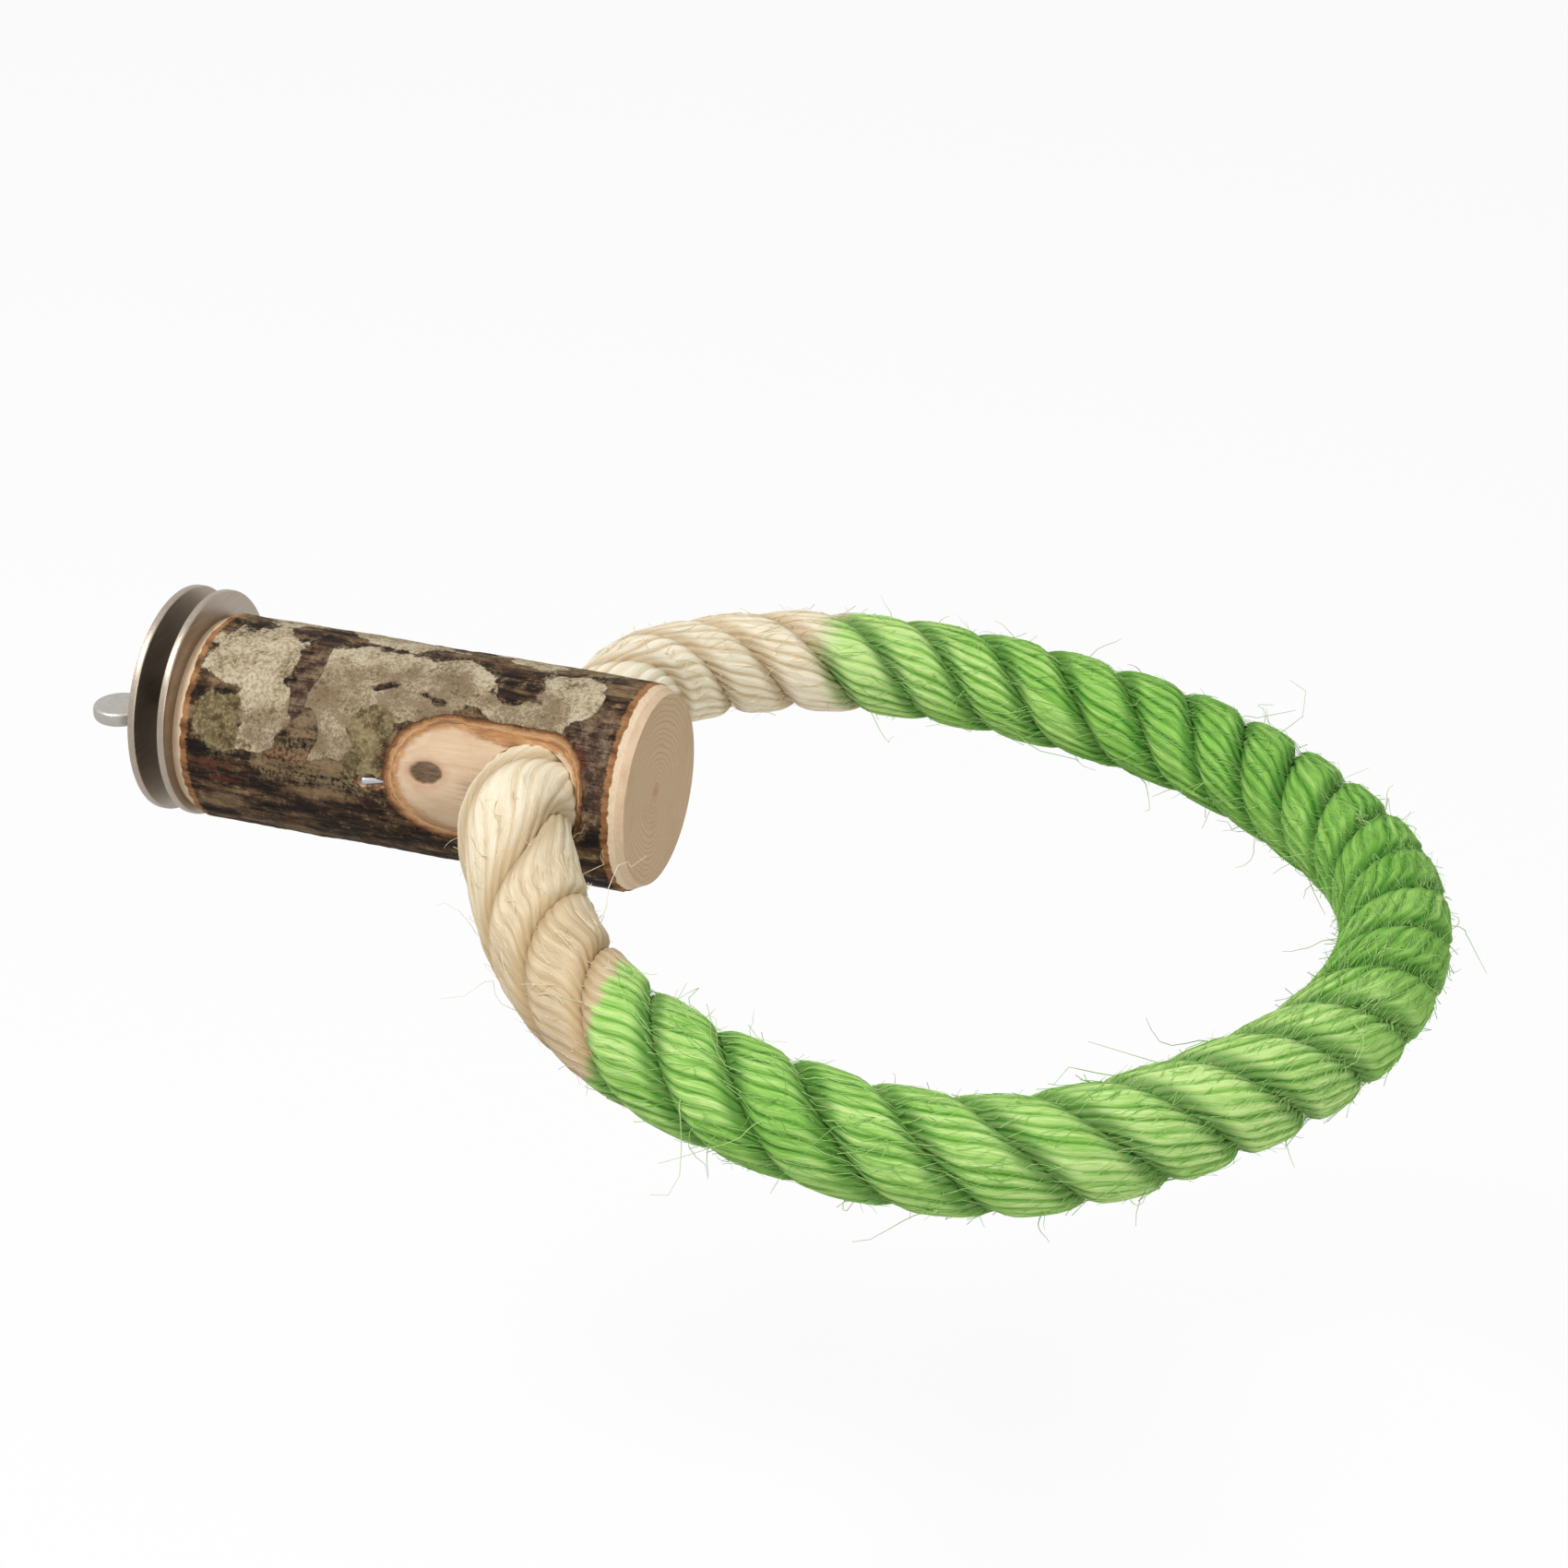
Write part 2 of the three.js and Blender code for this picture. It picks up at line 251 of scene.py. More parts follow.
def live(sockets, name):
    """The socket of that name or number that the node's settings leave in use."""
    if isinstance(name, int):
        return sockets[name]
    return next(s for s in sockets if s.name == name and s.enabled)


class Graph:
    """A node tree that is written as expressions on Values."""

    def __init__(self, tree):
        self.tree = tree

    def add(self, kind, settings=None, inputs=None, out=None):
        """Adds a node of that kind, sets it, links or fills its sockets and returns an output."""
        node = self.tree.nodes.new(kind)
        for name, value in (settings or {}).items():
            if name == "stops":
                set_stops(node.color_ramp, value)
            else:
                setattr(node, name, value)
        for name, value in (inputs or {}).items():
            socket = live(node.inputs, name)
            for item in value if isinstance(value, list) else [value]:
                if isinstance(item, Value):
                    self.tree.links.new(item.socket, socket)
                else:
                    socket.default_value = item
        if not node.outputs:
            return None
        if out is None:
            return Value(self, next(s for s in node.outputs if s.enabled))
        return Value(self, live(node.outputs, out))

    def math(self, operation, *operands):
        wide = [
            isinstance(o, (tuple, Vector)) or isinstance(o, Value) and o.socket.type == "VECTOR"
            for o in operands
        ]
        if not any(wide):
            return self.add("ShaderNodeMath", {"operation": operation}, dict(enumerate(operands)))
        kind = "ShaderNodeVectorMath"
        if operation == "MULTIPLY" and not all(wide):
            vector, number = operands if wide[0] else reversed(operands)
            return self.add(kind, {"operation": "SCALE"}, {0: vector, "Scale": number})
        return self.add(kind, {"operation": operation}, dict(enumerate(operands)))

    def vector(self, x, y, z):
        return self.add("ShaderNodeCombineXYZ", inputs={"X": x, "Y": y, "Z": z})

    def noise(self, place, scale, detail=3.0, roughness=0.5):
        """Fractal noise from 0 to 1 over a place vector."""
        return self.add(
            "ShaderNodeTexNoise",
            inputs={"Vector": place, "Scale": scale, "Detail": detail, "Roughness": roughness},
        )

    def mix(self, share, first, second, blend="MIX"):
        """One colour over another."""
        return self.add(
            "ShaderNodeMix",
            {"data_type": "RGBA", "blend_type": blend},
            {"Factor": share, "A": first, "B": second},
        )

    def ramp(self, value, *stops):
        return self.add("ShaderNodeValToRGB", {"stops": stops}, {"Fac": value}, out="Color")

    def named(self, *names):
        """Numbers that the mesh stores at its points, read in a shader."""
        kind = "ShaderNodeAttribute"
        return [self.add(kind, {"attribute_name": name}, out="Fac") for name in names]


def set_stops(ramp, stops):
    while len(ramp.elements) > 1:
        ramp.elements.remove(ramp.elements[-1])
    for number, (place, colour) in enumerate(stops):
        element = ramp.elements[0] if number == 0 else ramp.elements.new(place)
        element.position = place
        element.color = colour


class Noise:
    """Smooth random field in space, from about -1 to 1, for moving a mesh's points."""

    CORNERS = [(i, j, k) for i in (0, 1) for j in (0, 1) for k in (0, 1)]

    def __init__(self, seed):
        generator = np.random.default_rng(seed)
        slopes = generator.normal(size=(4096, 3))
        self.slopes = slopes / np.linalg.norm(slopes, axis=1, keepdims=True)

    def single(self, points):
        cell = np.floor(points).astype(np.int64)
        local = points - cell
        fade = local * local * local * (local * (local * 6 - 15) + 10)
        total = np.zeros(len(points))
        for corner in self.CORNERS:
            lattice = cell + corner
            key = lattice @ np.array([73856093, 19349663, 83492791]) & 4095
            slope = self.slopes[key]
            weight = np.prod(np.where(corner, fade, 1 - fade), axis=1)
            total += weight * np.einsum("ij,ij->i", slope, local - corner)
        return total * 1.6

    def __call__(self, points, size, octaves=1):
        """The field at points, with features of a given size along each axis."""
        scaled = np.asarray(points) / np.asarray(size)
        total = np.zeros(len(scaled))
        for octave in range(octaves):
            total += self.single(scaled * 2**octave + 17.3 * octave) / 2**octave
        return total


def new_piece(name, vertices, faces, material=None):
    mesh = bpy.data.meshes.new(name)
    mesh.from_pydata([tuple(v) for v in vertices], [], [tuple(f) for f in faces])
    mesh.update()
    piece = bpy.data.objects.new(name, mesh)
    bpy.context.scene.collection.objects.link(piece)
    if material:
        mesh.materials.append(material)
    return piece


def loft(name, rings, material=None, closed=False):
    """A solid through rings of equally many points, capped at both ends or closed on itself."""
    count = len(rings[0])
    vertices = np.concatenate(rings)
    faces = []
    last = len(rings) if closed else len(rings) - 1
    for i in range(last):
        a, b = i * count, (i + 1) % len(rings) * count
        for j in range(count):
            k = (j + 1) % count
            faces.append((a + j, a + k, b + k, b + j))
    if not closed:
        faces.append(tuple(range(count))[::-1])
        faces.append(tuple(len(vertices) - count + j for j in range(count)))
    piece = new_piece(name, vertices, faces, material)
    tidy(piece)
    return piece


def tidy(piece):
    """Merges doubled points and turns every face outwards."""
    shape = bmesh.new()
    shape.from_mesh(piece.data)
    bmesh.ops.remove_doubles(shape, verts=shape.verts, dist=DOUBLED)
    bmesh.ops.recalc_face_normals(shape, faces=shape.faces)
    shape.to_mesh(piece.data)
    shape.free()


def soften(piece, degrees=40):
    """Smooth shading, with the edges sharper than an angle kept crisp."""
    shape = bmesh.new()
    shape.from_mesh(piece.data)
    limit = math.radians(degrees)
    for face in shape.faces:
        face.smooth = True
    for edge in shape.edges:
        edge.smooth = len(edge.link_faces) == 2 and edge.calc_face_angle(0.0) < limit
    shape.to_mesh(piece.data)
    shape.free()


def bake(piece):
    """Turns what a piece's modifiers make into its plain mesh."""
    graph = bpy.context.evaluated_depsgraph_get()
    made = bpy.data.meshes.new_from_object(piece.evaluated_get(graph), depsgraph=graph)
    piece.modifiers.clear()
    piece.data = made


def join_or_cut(piece, operation, *others):
    """Boolean of a piece with others, which are used up."""
    for other in others:
        modifier = piece.modifiers.new("boolean", "BOOLEAN")
        modifier.operation = operation
        modifier.solver = "MANIFOLD"
        modifier.object = other
    bake(piece)
    for other in others:
        bpy.data.objects.remove(other)


def circle(x, radius, angles, height=0.0):
    """Ring of points round a line along X."""
    across, up = radius * np.cos(angles), radius * np.sin(angles)
    return np.stack([np.full(len(angles), x), across, height + up], axis=1)


def turned(name, profile, sides, material=None, height=0.0, closed=False):
    """Turned piece round a line along X, from a profile of (x, radius)."""
    angles = np.linspace(0, 2 * math.pi, sides, endpoint=False)
    rings = [circle(x, max(radius, 0.0), angles, height) for x, radius in profile]
    return loft(name, rings, material, closed)


def arc(centre, radius, start, end, count):
    """Points of an arc, as (x, y), from one angle in degrees to another."""
    x, y = centre
    turns = np.radians(np.linspace(start, end, count))
    return [(x + radius * math.cos(a), y + radius * math.sin(a)) for a in turns]


def coordinates(piece):
    points = np.empty(len(piece.data.vertices) * 3)
    piece.data.vertices.foreach_get("co", points)
    return points.reshape(-1, 3)


def set_coordinates(piece, points):
    piece.data.vertices.foreach_set("co", points.ravel())
    piece.data.update()


def store(piece, name, values):
    attribute = piece.data.attributes.new(name, "FLOAT", "POINT")
    attribute.data.foreach_set("value", np.asarray(values, np.float32))


# Materials


def start_material(name):
    material = bpy.data.materials.new(name)
    material.use_nodes = True
    material.node_tree.nodes.clear()
    graph = Graph(material.node_tree)
    place = graph.add("ShaderNodeTexCoord", out="Object")
    return material, graph, place


def end_material(graph, colour, roughness, height=None, depth=0.0, metallic=0.0, **settings):
    """Shader with a bump of that depth in metres where the height goes from 0 to 1."""
    inputs = {"Base Color": colour, "Roughness": roughness, "Metallic": metallic, **settings}
    if height is not None:
        inputs["Normal"] = graph.add(
            "ShaderNodeBump", inputs={"Strength": 1.0, "Distance": depth, "Height": height}
        )
    shader = graph.add("ShaderNodeBsdfPrincipled", inputs=inputs)
    graph.add("ShaderNodeOutputMaterial", inputs={"Surface": shader})


def dye(along, outward, upward, total):
    """Share of dye in the rope there: 0 near both ends, and 1 between two slanting edges."""
    from_start = along - outward * DYE_NEAR_SLANT
    from_end = total - along - outward * DYE_FAR_SLANT + upward * DYE_FAR_LIFT
    near = from_start.step(DYE_NEAR - DYE_NEAR_BLUR, DYE_NEAR + DYE_NEAR_BLUR)
    far = from_end.step(DYE_FAR_FROM_END - DYE_FAR_BLUR, DYE_FAR_FROM_END + DYE_FAR_BLUR)
    return near * far


def make_sisal():
    """Twisted sisal: green between two undyed ends, with fine fibres along every yarn."""
    material, graph, place = start_material("sisal")
    along, total, strand, yarn_y, yarn_z = graph.named(
        "along", "total", "strand", "yarn_y", "yarn_z"
    )
    ridge, crown, outward, upward = graph.named("ridge", "crown", "outward", "upward")

    def along_yarns(per_metre, per_yarn, detail):
        """Noise drawn out along the yarns, with so many features to a metre and to a yarn."""
        run = along * per_metre + strand * 9.7
        stretched = graph.vector(run, yarn_y * per_yarn, yarn_z * per_yarn)
        return graph.noise(stretched, 1.0, detail, 0.6)

    fibre = along_yarns(75.0, 4.0, 4.0)
    fine = along_yarns(260.0, 16.0, 3.0)
    yarn_tone = along_yarns(22.0, 0.8, 2.0)
    patch = graph.noise(place, 90.0, 2.0)
    ragged = along_yarns(50.0, 1.3, 3.0) - 0.5
    dyed = dye(along + ragged * (9 * MM), outward, upward, total)

    # The ridge term darkens the tone in the grooves between the yarns: painted shade.
    tone = fibre * 0.34 + fine * 0.44 + yarn_tone * 0.3 + patch * 0.16 + ridge * 0.18 - 0.26
    green_tone = tone + (total - along).step(82 * MM, 112 * MM, 0.12, 0.0)
    for start, end, before, after in (
        (82, 106, 0.08, 0.0),
        (110, 170, 0.04, 0.13),
        (200, 235, 0.0, -0.16),
        (325, 365, 0.0, 0.06),
    ):
        green_tone = green_tone + along.step(start * MM, end * MM, before, after)
    natural_tone = tone + along.step(30 * MM, 75 * MM, 0.07, -0.19)
    # Painted light: the undyed far end of the rope is painted paler than the near one.
    natural_tone = natural_tone + along.step(100 * MM, 400 * MM, 0.0, 0.35)
    green = graph.ramp(
        green_tone,
        (0.26, srgb(60, 132, 34)),
        (0.41, srgb(108, 169, 60)),
        (0.54, srgb(147, 198, 91)),
        (0.70, srgb(202, 231, 148)),
    )
    natural = graph.ramp(
        natural_tone,
        (0.26, srgb(196, 173, 137)),
        (0.41, srgb(220, 201, 167)),
        (0.54, srgb(236, 220, 188)),
        (0.72, srgb(249, 240, 216)),
    )
    colour = graph.mix(dyed, natural, green)
    # Painted shade: the colour is darkened towards a deep crease colour in the grooves between the
    # yarns and in the creases between the strands.
    painted_crease_shade = graph.mix(dyed, srgb(186, 156, 110), srgb(26, 98, 18))
    colour = graph.mix(ridge.step(0.0, 0.9, 0.42, 0.0), colour, painted_crease_shade)
    colour = graph.mix(crown.step(0.1, 0.85, 0.62, 0.0), colour, painted_crease_shade)
    height = fibre * 0.4 + fine * 0.6
    end_material(graph, colour, 0.72, height, 0.26 * MM, **{"Specular IOR Level": 0.25})
    return material


def make_fibre():
    """Loose fibres: the rope's colours, by where each fibre grows."""
    material, graph, _ = start_material("loose_fibre")
    dyed, shade = graph.named("dyed", "shade")
    green = graph.ramp(
        shade, (0.0, srgb(106, 166, 66)), (0.5, srgb(144, 197, 95)), (1.0, srgb(194, 225, 146))
    )
    natural = graph.ramp(
        shade, (0.0, srgb(214, 190, 146)), (0.5, srgb(234, 216, 176)), (1.0, srgb(250, 242, 220))
    )
    end_material(graph, graph.mix(dyed, natural, green), 0.6)
    return material


def bark_layers(graph, place):
    """Distance from the log's axis, and the flakes and fine lines of bark that is cut through."""
    x, y, z = place.parts()
    radius = graph.vector(0.0, y, z - LOG_AXIS_HEIGHT).length()
    flakes = graph.noise(place * (160.0, 500.0, 500.0), 1.0, 5.0, 0.7)
    lines = graph.noise(graph.vector(radius * 5200.0, x * 90.0, z * 90.0), 1.0, 3.0, 0.6)
    return radius, flakes - 0.5, lines.step(0.48, 0.36)


def make_bark():
    """Thin dark bark with pale crusts, orange where it is cut through."""
    material, graph, place = start_material("bark")
    x, _, _ = place.parts()
    radius, flakes, lines = bark_layers(graph, place)
    lichen, green_crust, veil = graph.named("lichen", "green_crust", "veil")
    red, thin, smooth = graph.named("red", "thin", "smooth")
    streaks = graph.noise(place * (70.0, 300.0, 300.0), 1.0, 6.0, 0.62)
    mottle = graph.noise(place, 420.0, 5.0, 0.7)
    grain = graph.noise(place, 1500.0, 3.0, 0.6)
    dark = graph.ramp(
        streaks * 0.75 + mottle * 0.35,
        (0.43, srgb(18, 12, 8)),
        (0.51, srgb(44, 30, 20)),
        (0.58, srgb(82, 61, 42)),
        (0.68, srgb(128, 105, 76)),
    )
    split = graph.noise(place * (42.0, 480.0, 480.0), 1.0, 5.0, 0.6)
    fissure = abs(split - 0.5).step(0.0, 0.022, 1.0, 0.0) * streaks.step(0.62, 0.50)
    dark = graph.mix(fissure * 0.85, dark, srgb(12, 8, 5))
    dull = (smooth + (mottle - 0.5) * 1.6).step(-0.1, 0.2)
    dull_tone = graph.mix(mottle.step(0.4, 0.62), srgb(66, 47, 37), srgb(124, 102, 84))
    dark = graph.mix(dull * 0.8, dark, dull_tone)
    speck = mottle.step(0.55, 0.64) * grain.step(0.44, 0.58)
    dark = graph.mix(speck * 0.6, dark, srgb(140, 124, 90))
    stained = (red + (streaks - 0.5) * 1.6).step(-0.05, 0.35) * mottle.step(0.34, 0.56)
    dark = graph.mix(stained * 0.75, dark, srgb(88, 38, 28))

    cloud = graph.noise(place, 210.0, 5.0, 0.65)
    blotch = cloud * 0.8 + grain * 0.3
    crust = graph.ramp(
        blotch,
        (0.38, srgb(104, 88, 64)),
        (0.47, srgb(142, 126, 98)),
        (0.56, srgb(172, 157, 129)),
        (0.72, srgb(192, 180, 154)),
    )
    green = graph.ramp(
        blotch,
        (0.40, srgb(74, 62, 40)),
        (0.52, srgb(106, 92, 62)),
        (0.68, srgb(138, 123, 90)),
    )
    crust = graph.mix(grain.step(0.50, 0.58) * 0.28, crust, srgb(206, 194, 168))
    crust = graph.mix(grain.step(0.48, 0.40) * 0.34, crust, srgb(112, 94, 68))
    broken = thin.at_most(0.1) + (mottle - 0.5) * 2.4 + (grain - 0.5) * 2.0
    crust = graph.mix(broken.step(-0.02, 0.14) * 0.68, crust, srgb(96, 72, 46))
    pits = graph.noise(place, 1100.0, 2.0, 0.5).step(0.58, 0.66) * cloud.step(0.62, 0.44)
    crust = graph.mix(pits * 0.6, crust, srgb(84, 68, 46))
    green = graph.mix(grain.step(0.51, 0.60) * 0.4, green, srgb(158, 144, 108))
    green = graph.mix(mottle.step(0.50, 0.42) * 0.55, green, srgb(66, 52, 34))
    crust = graph.mix(green_crust.step(-0.04, 0.04), crust, green)
    edge = lichen + (grain - 0.5) * 0.16 + (mottle - 0.5) * 0.25
    film = edge.step(-0.4, 0.0) * mottle.step(0.44, 0.58)
    film = film.at_least((veil + (mottle - 0.5) * 2.4).step(-0.15, 0.35))
    film = film * grain.step(0.40, 0.54) * 0.8
    colour = graph.mix(film, dark, srgb(126, 108, 80))
    colour = graph.mix(edge.step(-0.03, 0.05), colour, crust)
    rim = abs(edge).step(0.0, 0.07, 1.0, 0.0) * mottle.step(0.38, 0.55)
    colour = graph.mix(rim * 0.55, colour, srgb(52, 42, 32))

    depth = (radius + flakes * (0.5 * MM)).step(BARK_INNER_RADIUS, 17.95 * MM)
    inner = graph.ramp(
        depth,
        (0.0, srgb(192, 152, 110)),
        (0.3, srgb(156, 114, 76)),
        (0.6, srgb(114, 77, 50)),
        (0.85, srgb(66, 43, 30)),
    )
    fleck = graph.noise(place, 1300.0, 3.0, 0.6)
    inner = graph.mix(fleck.step(0.55, 0.7) * 0.3, inner, srgb(196, 150, 98))
    inner = graph.mix(lines * 0.7, inner, srgb(104, 64, 38))
    cut = (radius + (grain - 0.5) * (0.12 * MM)).step(17.70 * MM, 17.80 * MM, 1.0, 0.0)
    uneven = flakes * (1.6 * MM) + (mottle - 0.5) * (1.4 * MM) + (grain - 0.5) * (1.2 * MM)
    from_wall = x - LOG_WALL_END
    from_nose = LOG_NOSE_END - x
    worn = (from_wall + uneven).step(3.0 * MM, 3.4 * MM, 1.0, 0.0)
    worn = worn.at_least((from_nose + uneven).step(3.3 * MM, 3.7 * MM, 1.0, 0.0))
    near_end = from_wall.step(6 * MM, 7 * MM, 1.0, 0.0)
    near_end = near_end.at_least(from_nose.step(6 * MM, 6.4 * MM, 1.0, 0.0))
    fibrous = graph.mix(streaks.step(0.35, 0.62), srgb(106, 68, 41), srgb(180, 130, 84))
    inner = graph.mix(near_end * 0.8, inner, fibrous)
    colour = graph.mix(cut.at_least(worn), colour, inner)
    bevelled = radius + flakes * (0.4 * MM) - x.step(0.0, 30 * MM, 0.12 * MM, 0.0)
    sapwood = bevelled.step(17.60 * MM, 17.70 * MM, 1.0, 0.0) * near_end
    sapwood_tone = graph.mix(streaks, srgb(210, 183, 149), srgb(238, 217, 189))
    colour = graph.mix(sapwood, colour, sapwood_tone)
    bare = edge.step(0.05, -0.05) * (1.0 - cut.at_least(worn))
    height = mottle * 0.6 + grain * 0.4 - fissure * bare * 0.5
    end_material(graph, colour, 0.85, height, 0.5 * MM, **{"Specular IOR Level": 0.2})
    return material


def make_wood():
    """Pale sapwood with growth rings round its pith, and a dark knot in the peeled flat."""
    material, graph, place = start_material("pale_wood")
    x, y, z = place.parts()
    wobble = graph.noise(place * (20.0, 90.0, 90.0), 1.0, 3.0) - 0.5
    across = graph.vector(0.0, y - PITH.y, z - PITH.z).length()
    uneven = graph.noise(graph.vector(across * 260.0, 0.0, 0.0), 1.0, 1.0) - 0.5
    ring = across / GROWTH_RING + wobble * 3.0 + uneven * 1.6
    phase = ring.fraction()
    late = phase.step(0.55, 0.95) * phase.step(0.95, 1.0, 1.0, 0.0)
    tint = graph.noise(graph.vector(ring.floor(), 0.0, 0.0), 1.0, 0.0)
    fibre = graph.noise(place * (140.0, 1600.0, 1600.0), 1.0, 4.0, 0.6)
    pores = graph.noise(place * (300.0, 2600.0, 2600.0), 1.0, 2.0, 0.5)
    face = x.step(LOG_NOSE_END - 0.12 * MM, LOG_NOSE_END - 0.04 * MM)

    side = graph.mix(fibre, srgb(202, 173, 141), srgb(222, 198, 169))
    side = graph.mix(late * 0.2, side, srgb(192, 152, 112))
    end = graph.mix(fibre, srgb(192, 160, 125), srgb(209, 181, 147))
    end = graph.mix(late * (tint * 0.6 + 0.1), end, srgb(148, 115, 82))
    end = graph.mix(across.step(2.0 * MM, 0.6 * MM) * 0.5, end, srgb(176, 120, 92))
    colour = graph.mix(face, side, end)

    side_axis = (0.0, math.sin(FLAT_TILT), math.cos(FLAT_TILT))
    aside = (place - (0.0, 0.0, LOG_AXIS_HEIGHT)).dot(side_axis)
    near_side = (y + 10 * MM).step(0.0, 2 * MM, 1.0, 0.0)
    radius, flakes, lines = bark_layers(graph, place)
    inner_bark = graph.ramp(
        flakes + 0.5,
        (0.35, srgb(128, 82, 48)),
        (0.5, srgb(174, 124, 76)),
        (0.65, srgb(206, 162, 112)),
    )
    inner_bark = graph.mix(lines * 0.6, inner_bark, srgb(120, 76, 46))
    on_flat = x.step(FLAT_LEFT - 3 * MM, FLAT_LEFT - 2 * MM)
    on_flat = on_flat * x.step(FLAT_RIGHT + 2 * MM, FLAT_RIGHT + 1 * MM)
    edge = (radius + flakes * (1.2 * MM)).step(16.60 * MM, 17.05 * MM) * on_flat
    colour = graph.mix(edge, colour, inner_bark)

    def from_spot(along, half_length, side, half_width):
        """Distance on the flat from an oval spot's middle, 1 at the edge of the oval."""
        return graph.vector((x - along) / half_length, (aside - side) / half_width, 0.0).length()

    torn = from_spot(TORN_X, TORN_HALF_LENGTH, TORN_SIDE, TORN_HALF_WIDTH)
    torn = (torn + flakes * 1.4).step(0.8, 1.1, 1.0, 0.0) * near_side
    colour = graph.mix(torn * 0.9, colour, inner_bark)
    stain = graph.noise(place, 120.0, 4.0, 0.6)
    colour = graph.mix(stain.step(0.5, 0.75) * 0.35, colour, srgb(182, 144, 112))
    # Painted shade: the flat is darkened towards its lower side, which faces down and lies under
    # the rope.
    low = (aside + (stain - 0.5) * (8 * MM)).step(-1 * MM, -11 * MM) * near_side * on_flat
    colour = graph.mix(low * 0.62, colour, srgb(148, 122, 96))
    # A darker brown-grey patch on the flat beside the rope's near mouth.
    dark_patch = from_spot(DARK_PATCH_X, DARK_PATCH_HALF_LENGTH, DARK_PATCH_SIDE, DARK_PATCH_HALF_WIDTH)
    dark_patch = (dark_patch + (fibre - 0.5) * 1.4 + (stain - 0.5)).step(1.1, 0.3) * near_side
    colour = graph.mix(dark_patch * 0.42, colour, srgb(126, 100, 76))

    ragged = (graph.noise(place, 700.0, 3.0) - 0.5) * 0.35
    spread = from_spot(KNOT_X, KNOT_HALF_LENGTH, KNOT_SIDE, KNOT_HALF_WIDTH) + ragged
    halo = spread.step(0.9, 1.8, 1.0, 0.0) * near_side
    knot = spread.step(0.84, 1.1, 1.0, 0.0) * near_side
    streak = graph.noise(place * (500.0, 2000.0, 2000.0), 1.0, 4.0, 0.7)
    knot_colour = graph.mix(streak.step(0.3, 0.7), srgb(84, 64, 47), srgb(122, 99, 76))
    colour = graph.mix(halo * 0.5, colour, srgb(184, 136, 106))
    colour = graph.mix(knot, colour, knot_colour)
    height = fibre * 0.7 + pores * 0.3
    end_material(graph, colour, 0.6, height, 0.12 * MM, **{"Specular IOR Level": 0.3})
    return material


def make_steel(name, light, dark, roughness, scale=(900.0, 900.0, 900.0)):
    """Satin steel with fine scratches and slight staining."""
    material, graph, place = start_material(name)
    lines = graph.noise(place * scale, 1.0, 3.0, 0.6)
    smear = graph.noise(place, 260.0, 3.0, 0.6)
    colour = graph.mix(lines * 0.8 + smear * 0.3 - 0.05, dark, light)
    end_material(graph, colour, lines * 0.2 + smear * 0.08 + roughness, lines, 0.03 * MM, 1.0)
    return material


SISAL = make_sisal()
FIBRE = make_fibre()
BARK = make_bark()
WOOD = make_wood()
# Washer steel: its warm brownish tint is partly the steel's own colour and partly a painted
# reflection of brownish surroundings.
WASHER_STEEL = make_steel(
    "satin_steel", srgb(190, 178, 163), srgb(138, 126, 112), 0.26, (3200.0, 70.0, 3200.0)
)
ZINC = make_steel("zinc_plate", srgb(196, 194, 188), srgb(158, 154, 146), 0.3)
PIN_STEEL = make_steel("bright_wire", srgb(206, 208, 210), srgb(150, 152, 156), 0.2)


# Geometry Nodes


def start_tree(name, numbers):
    """A modifier's node tree with one geometry and some named numbers as its inputs."""
    tree = bpy.data.node_groups.new(name, "GeometryNodeTree")
    tree.interface.new_socket("Geometry", in_out="INPUT", socket_type="NodeSocketGeometry")
    tree.interface.new_socket("Geometry", in_out="OUTPUT", socket_type="NodeSocketGeometry")
    for label, value in numbers.items():
        kind = "NodeSocketInt" if isinstance(value, int) else "NodeSocketFloat"
        tree.interface.new_socket(label, in_out="INPUT", socket_type=kind)
    graph = Graph(tree)
    source = graph.add("NodeGroupInput")
    return graph, source


def end_tree(graph, geometry, material):
    real = graph.add("GeometryNodeRealizeInstances", inputs={"Geometry": geometry})
    painted = graph.add("GeometryNodeSetMaterial", inputs={"Geometry": real, "Material": material})
    graph.add("NodeGroupOutput", inputs={"Geometry": painted})


def grow(piece, graph, numbers, working=()):
    """Runs a tree on a piece and keeps the result, without its working fields, as a plain mesh."""
    modifier = piece.modifiers.new(graph.tree.name, "NODES")
    modifier.node_group = graph.tree
    for item in graph.tree.interface.items_tree:
        if item.in_out == "INPUT" and item.name in numbers:
            modifier[item.identifier] = numbers[item.name]
    bake(piece)
    for name in working:
        piece.data.attributes.remove(piece.data.attributes[name])
    return piece


def keep(graph, geometry, **fields):
    """Stores fields on the points, for the shader or a later step to read."""
    for name, value in fields.items():
        wide = isinstance(value, Value) and value.socket.type == "VECTOR"
        geometry = graph.add(
            "GeometryNodeStoreNamedAttribute",
            {"data_type": "FLOAT_VECTOR" if wide else "FLOAT", "domain": "POINT"},
            {"Geometry": geometry, "Name": name, "Value": value},
        )
    return geometry


def read(graph, name, kind="FLOAT"):
    """A field that the points store."""
    return graph.add("GeometryNodeInputNamedAttribute", {"data_type": kind}, {"Name": name})


def scattered(graph, low, high, seed, kind="FLOAT"):
    """A different random value on every point."""
    ends = ((low,) * 3, (high,) * 3) if kind == "FLOAT_VECTOR" else (low, high)
    inputs = {"Min": ends[0], "Max": ends[1], "Seed": seed}
    return graph.add("FunctionNodeRandomValue", {"data_type": kind}, inputs)


# Rope


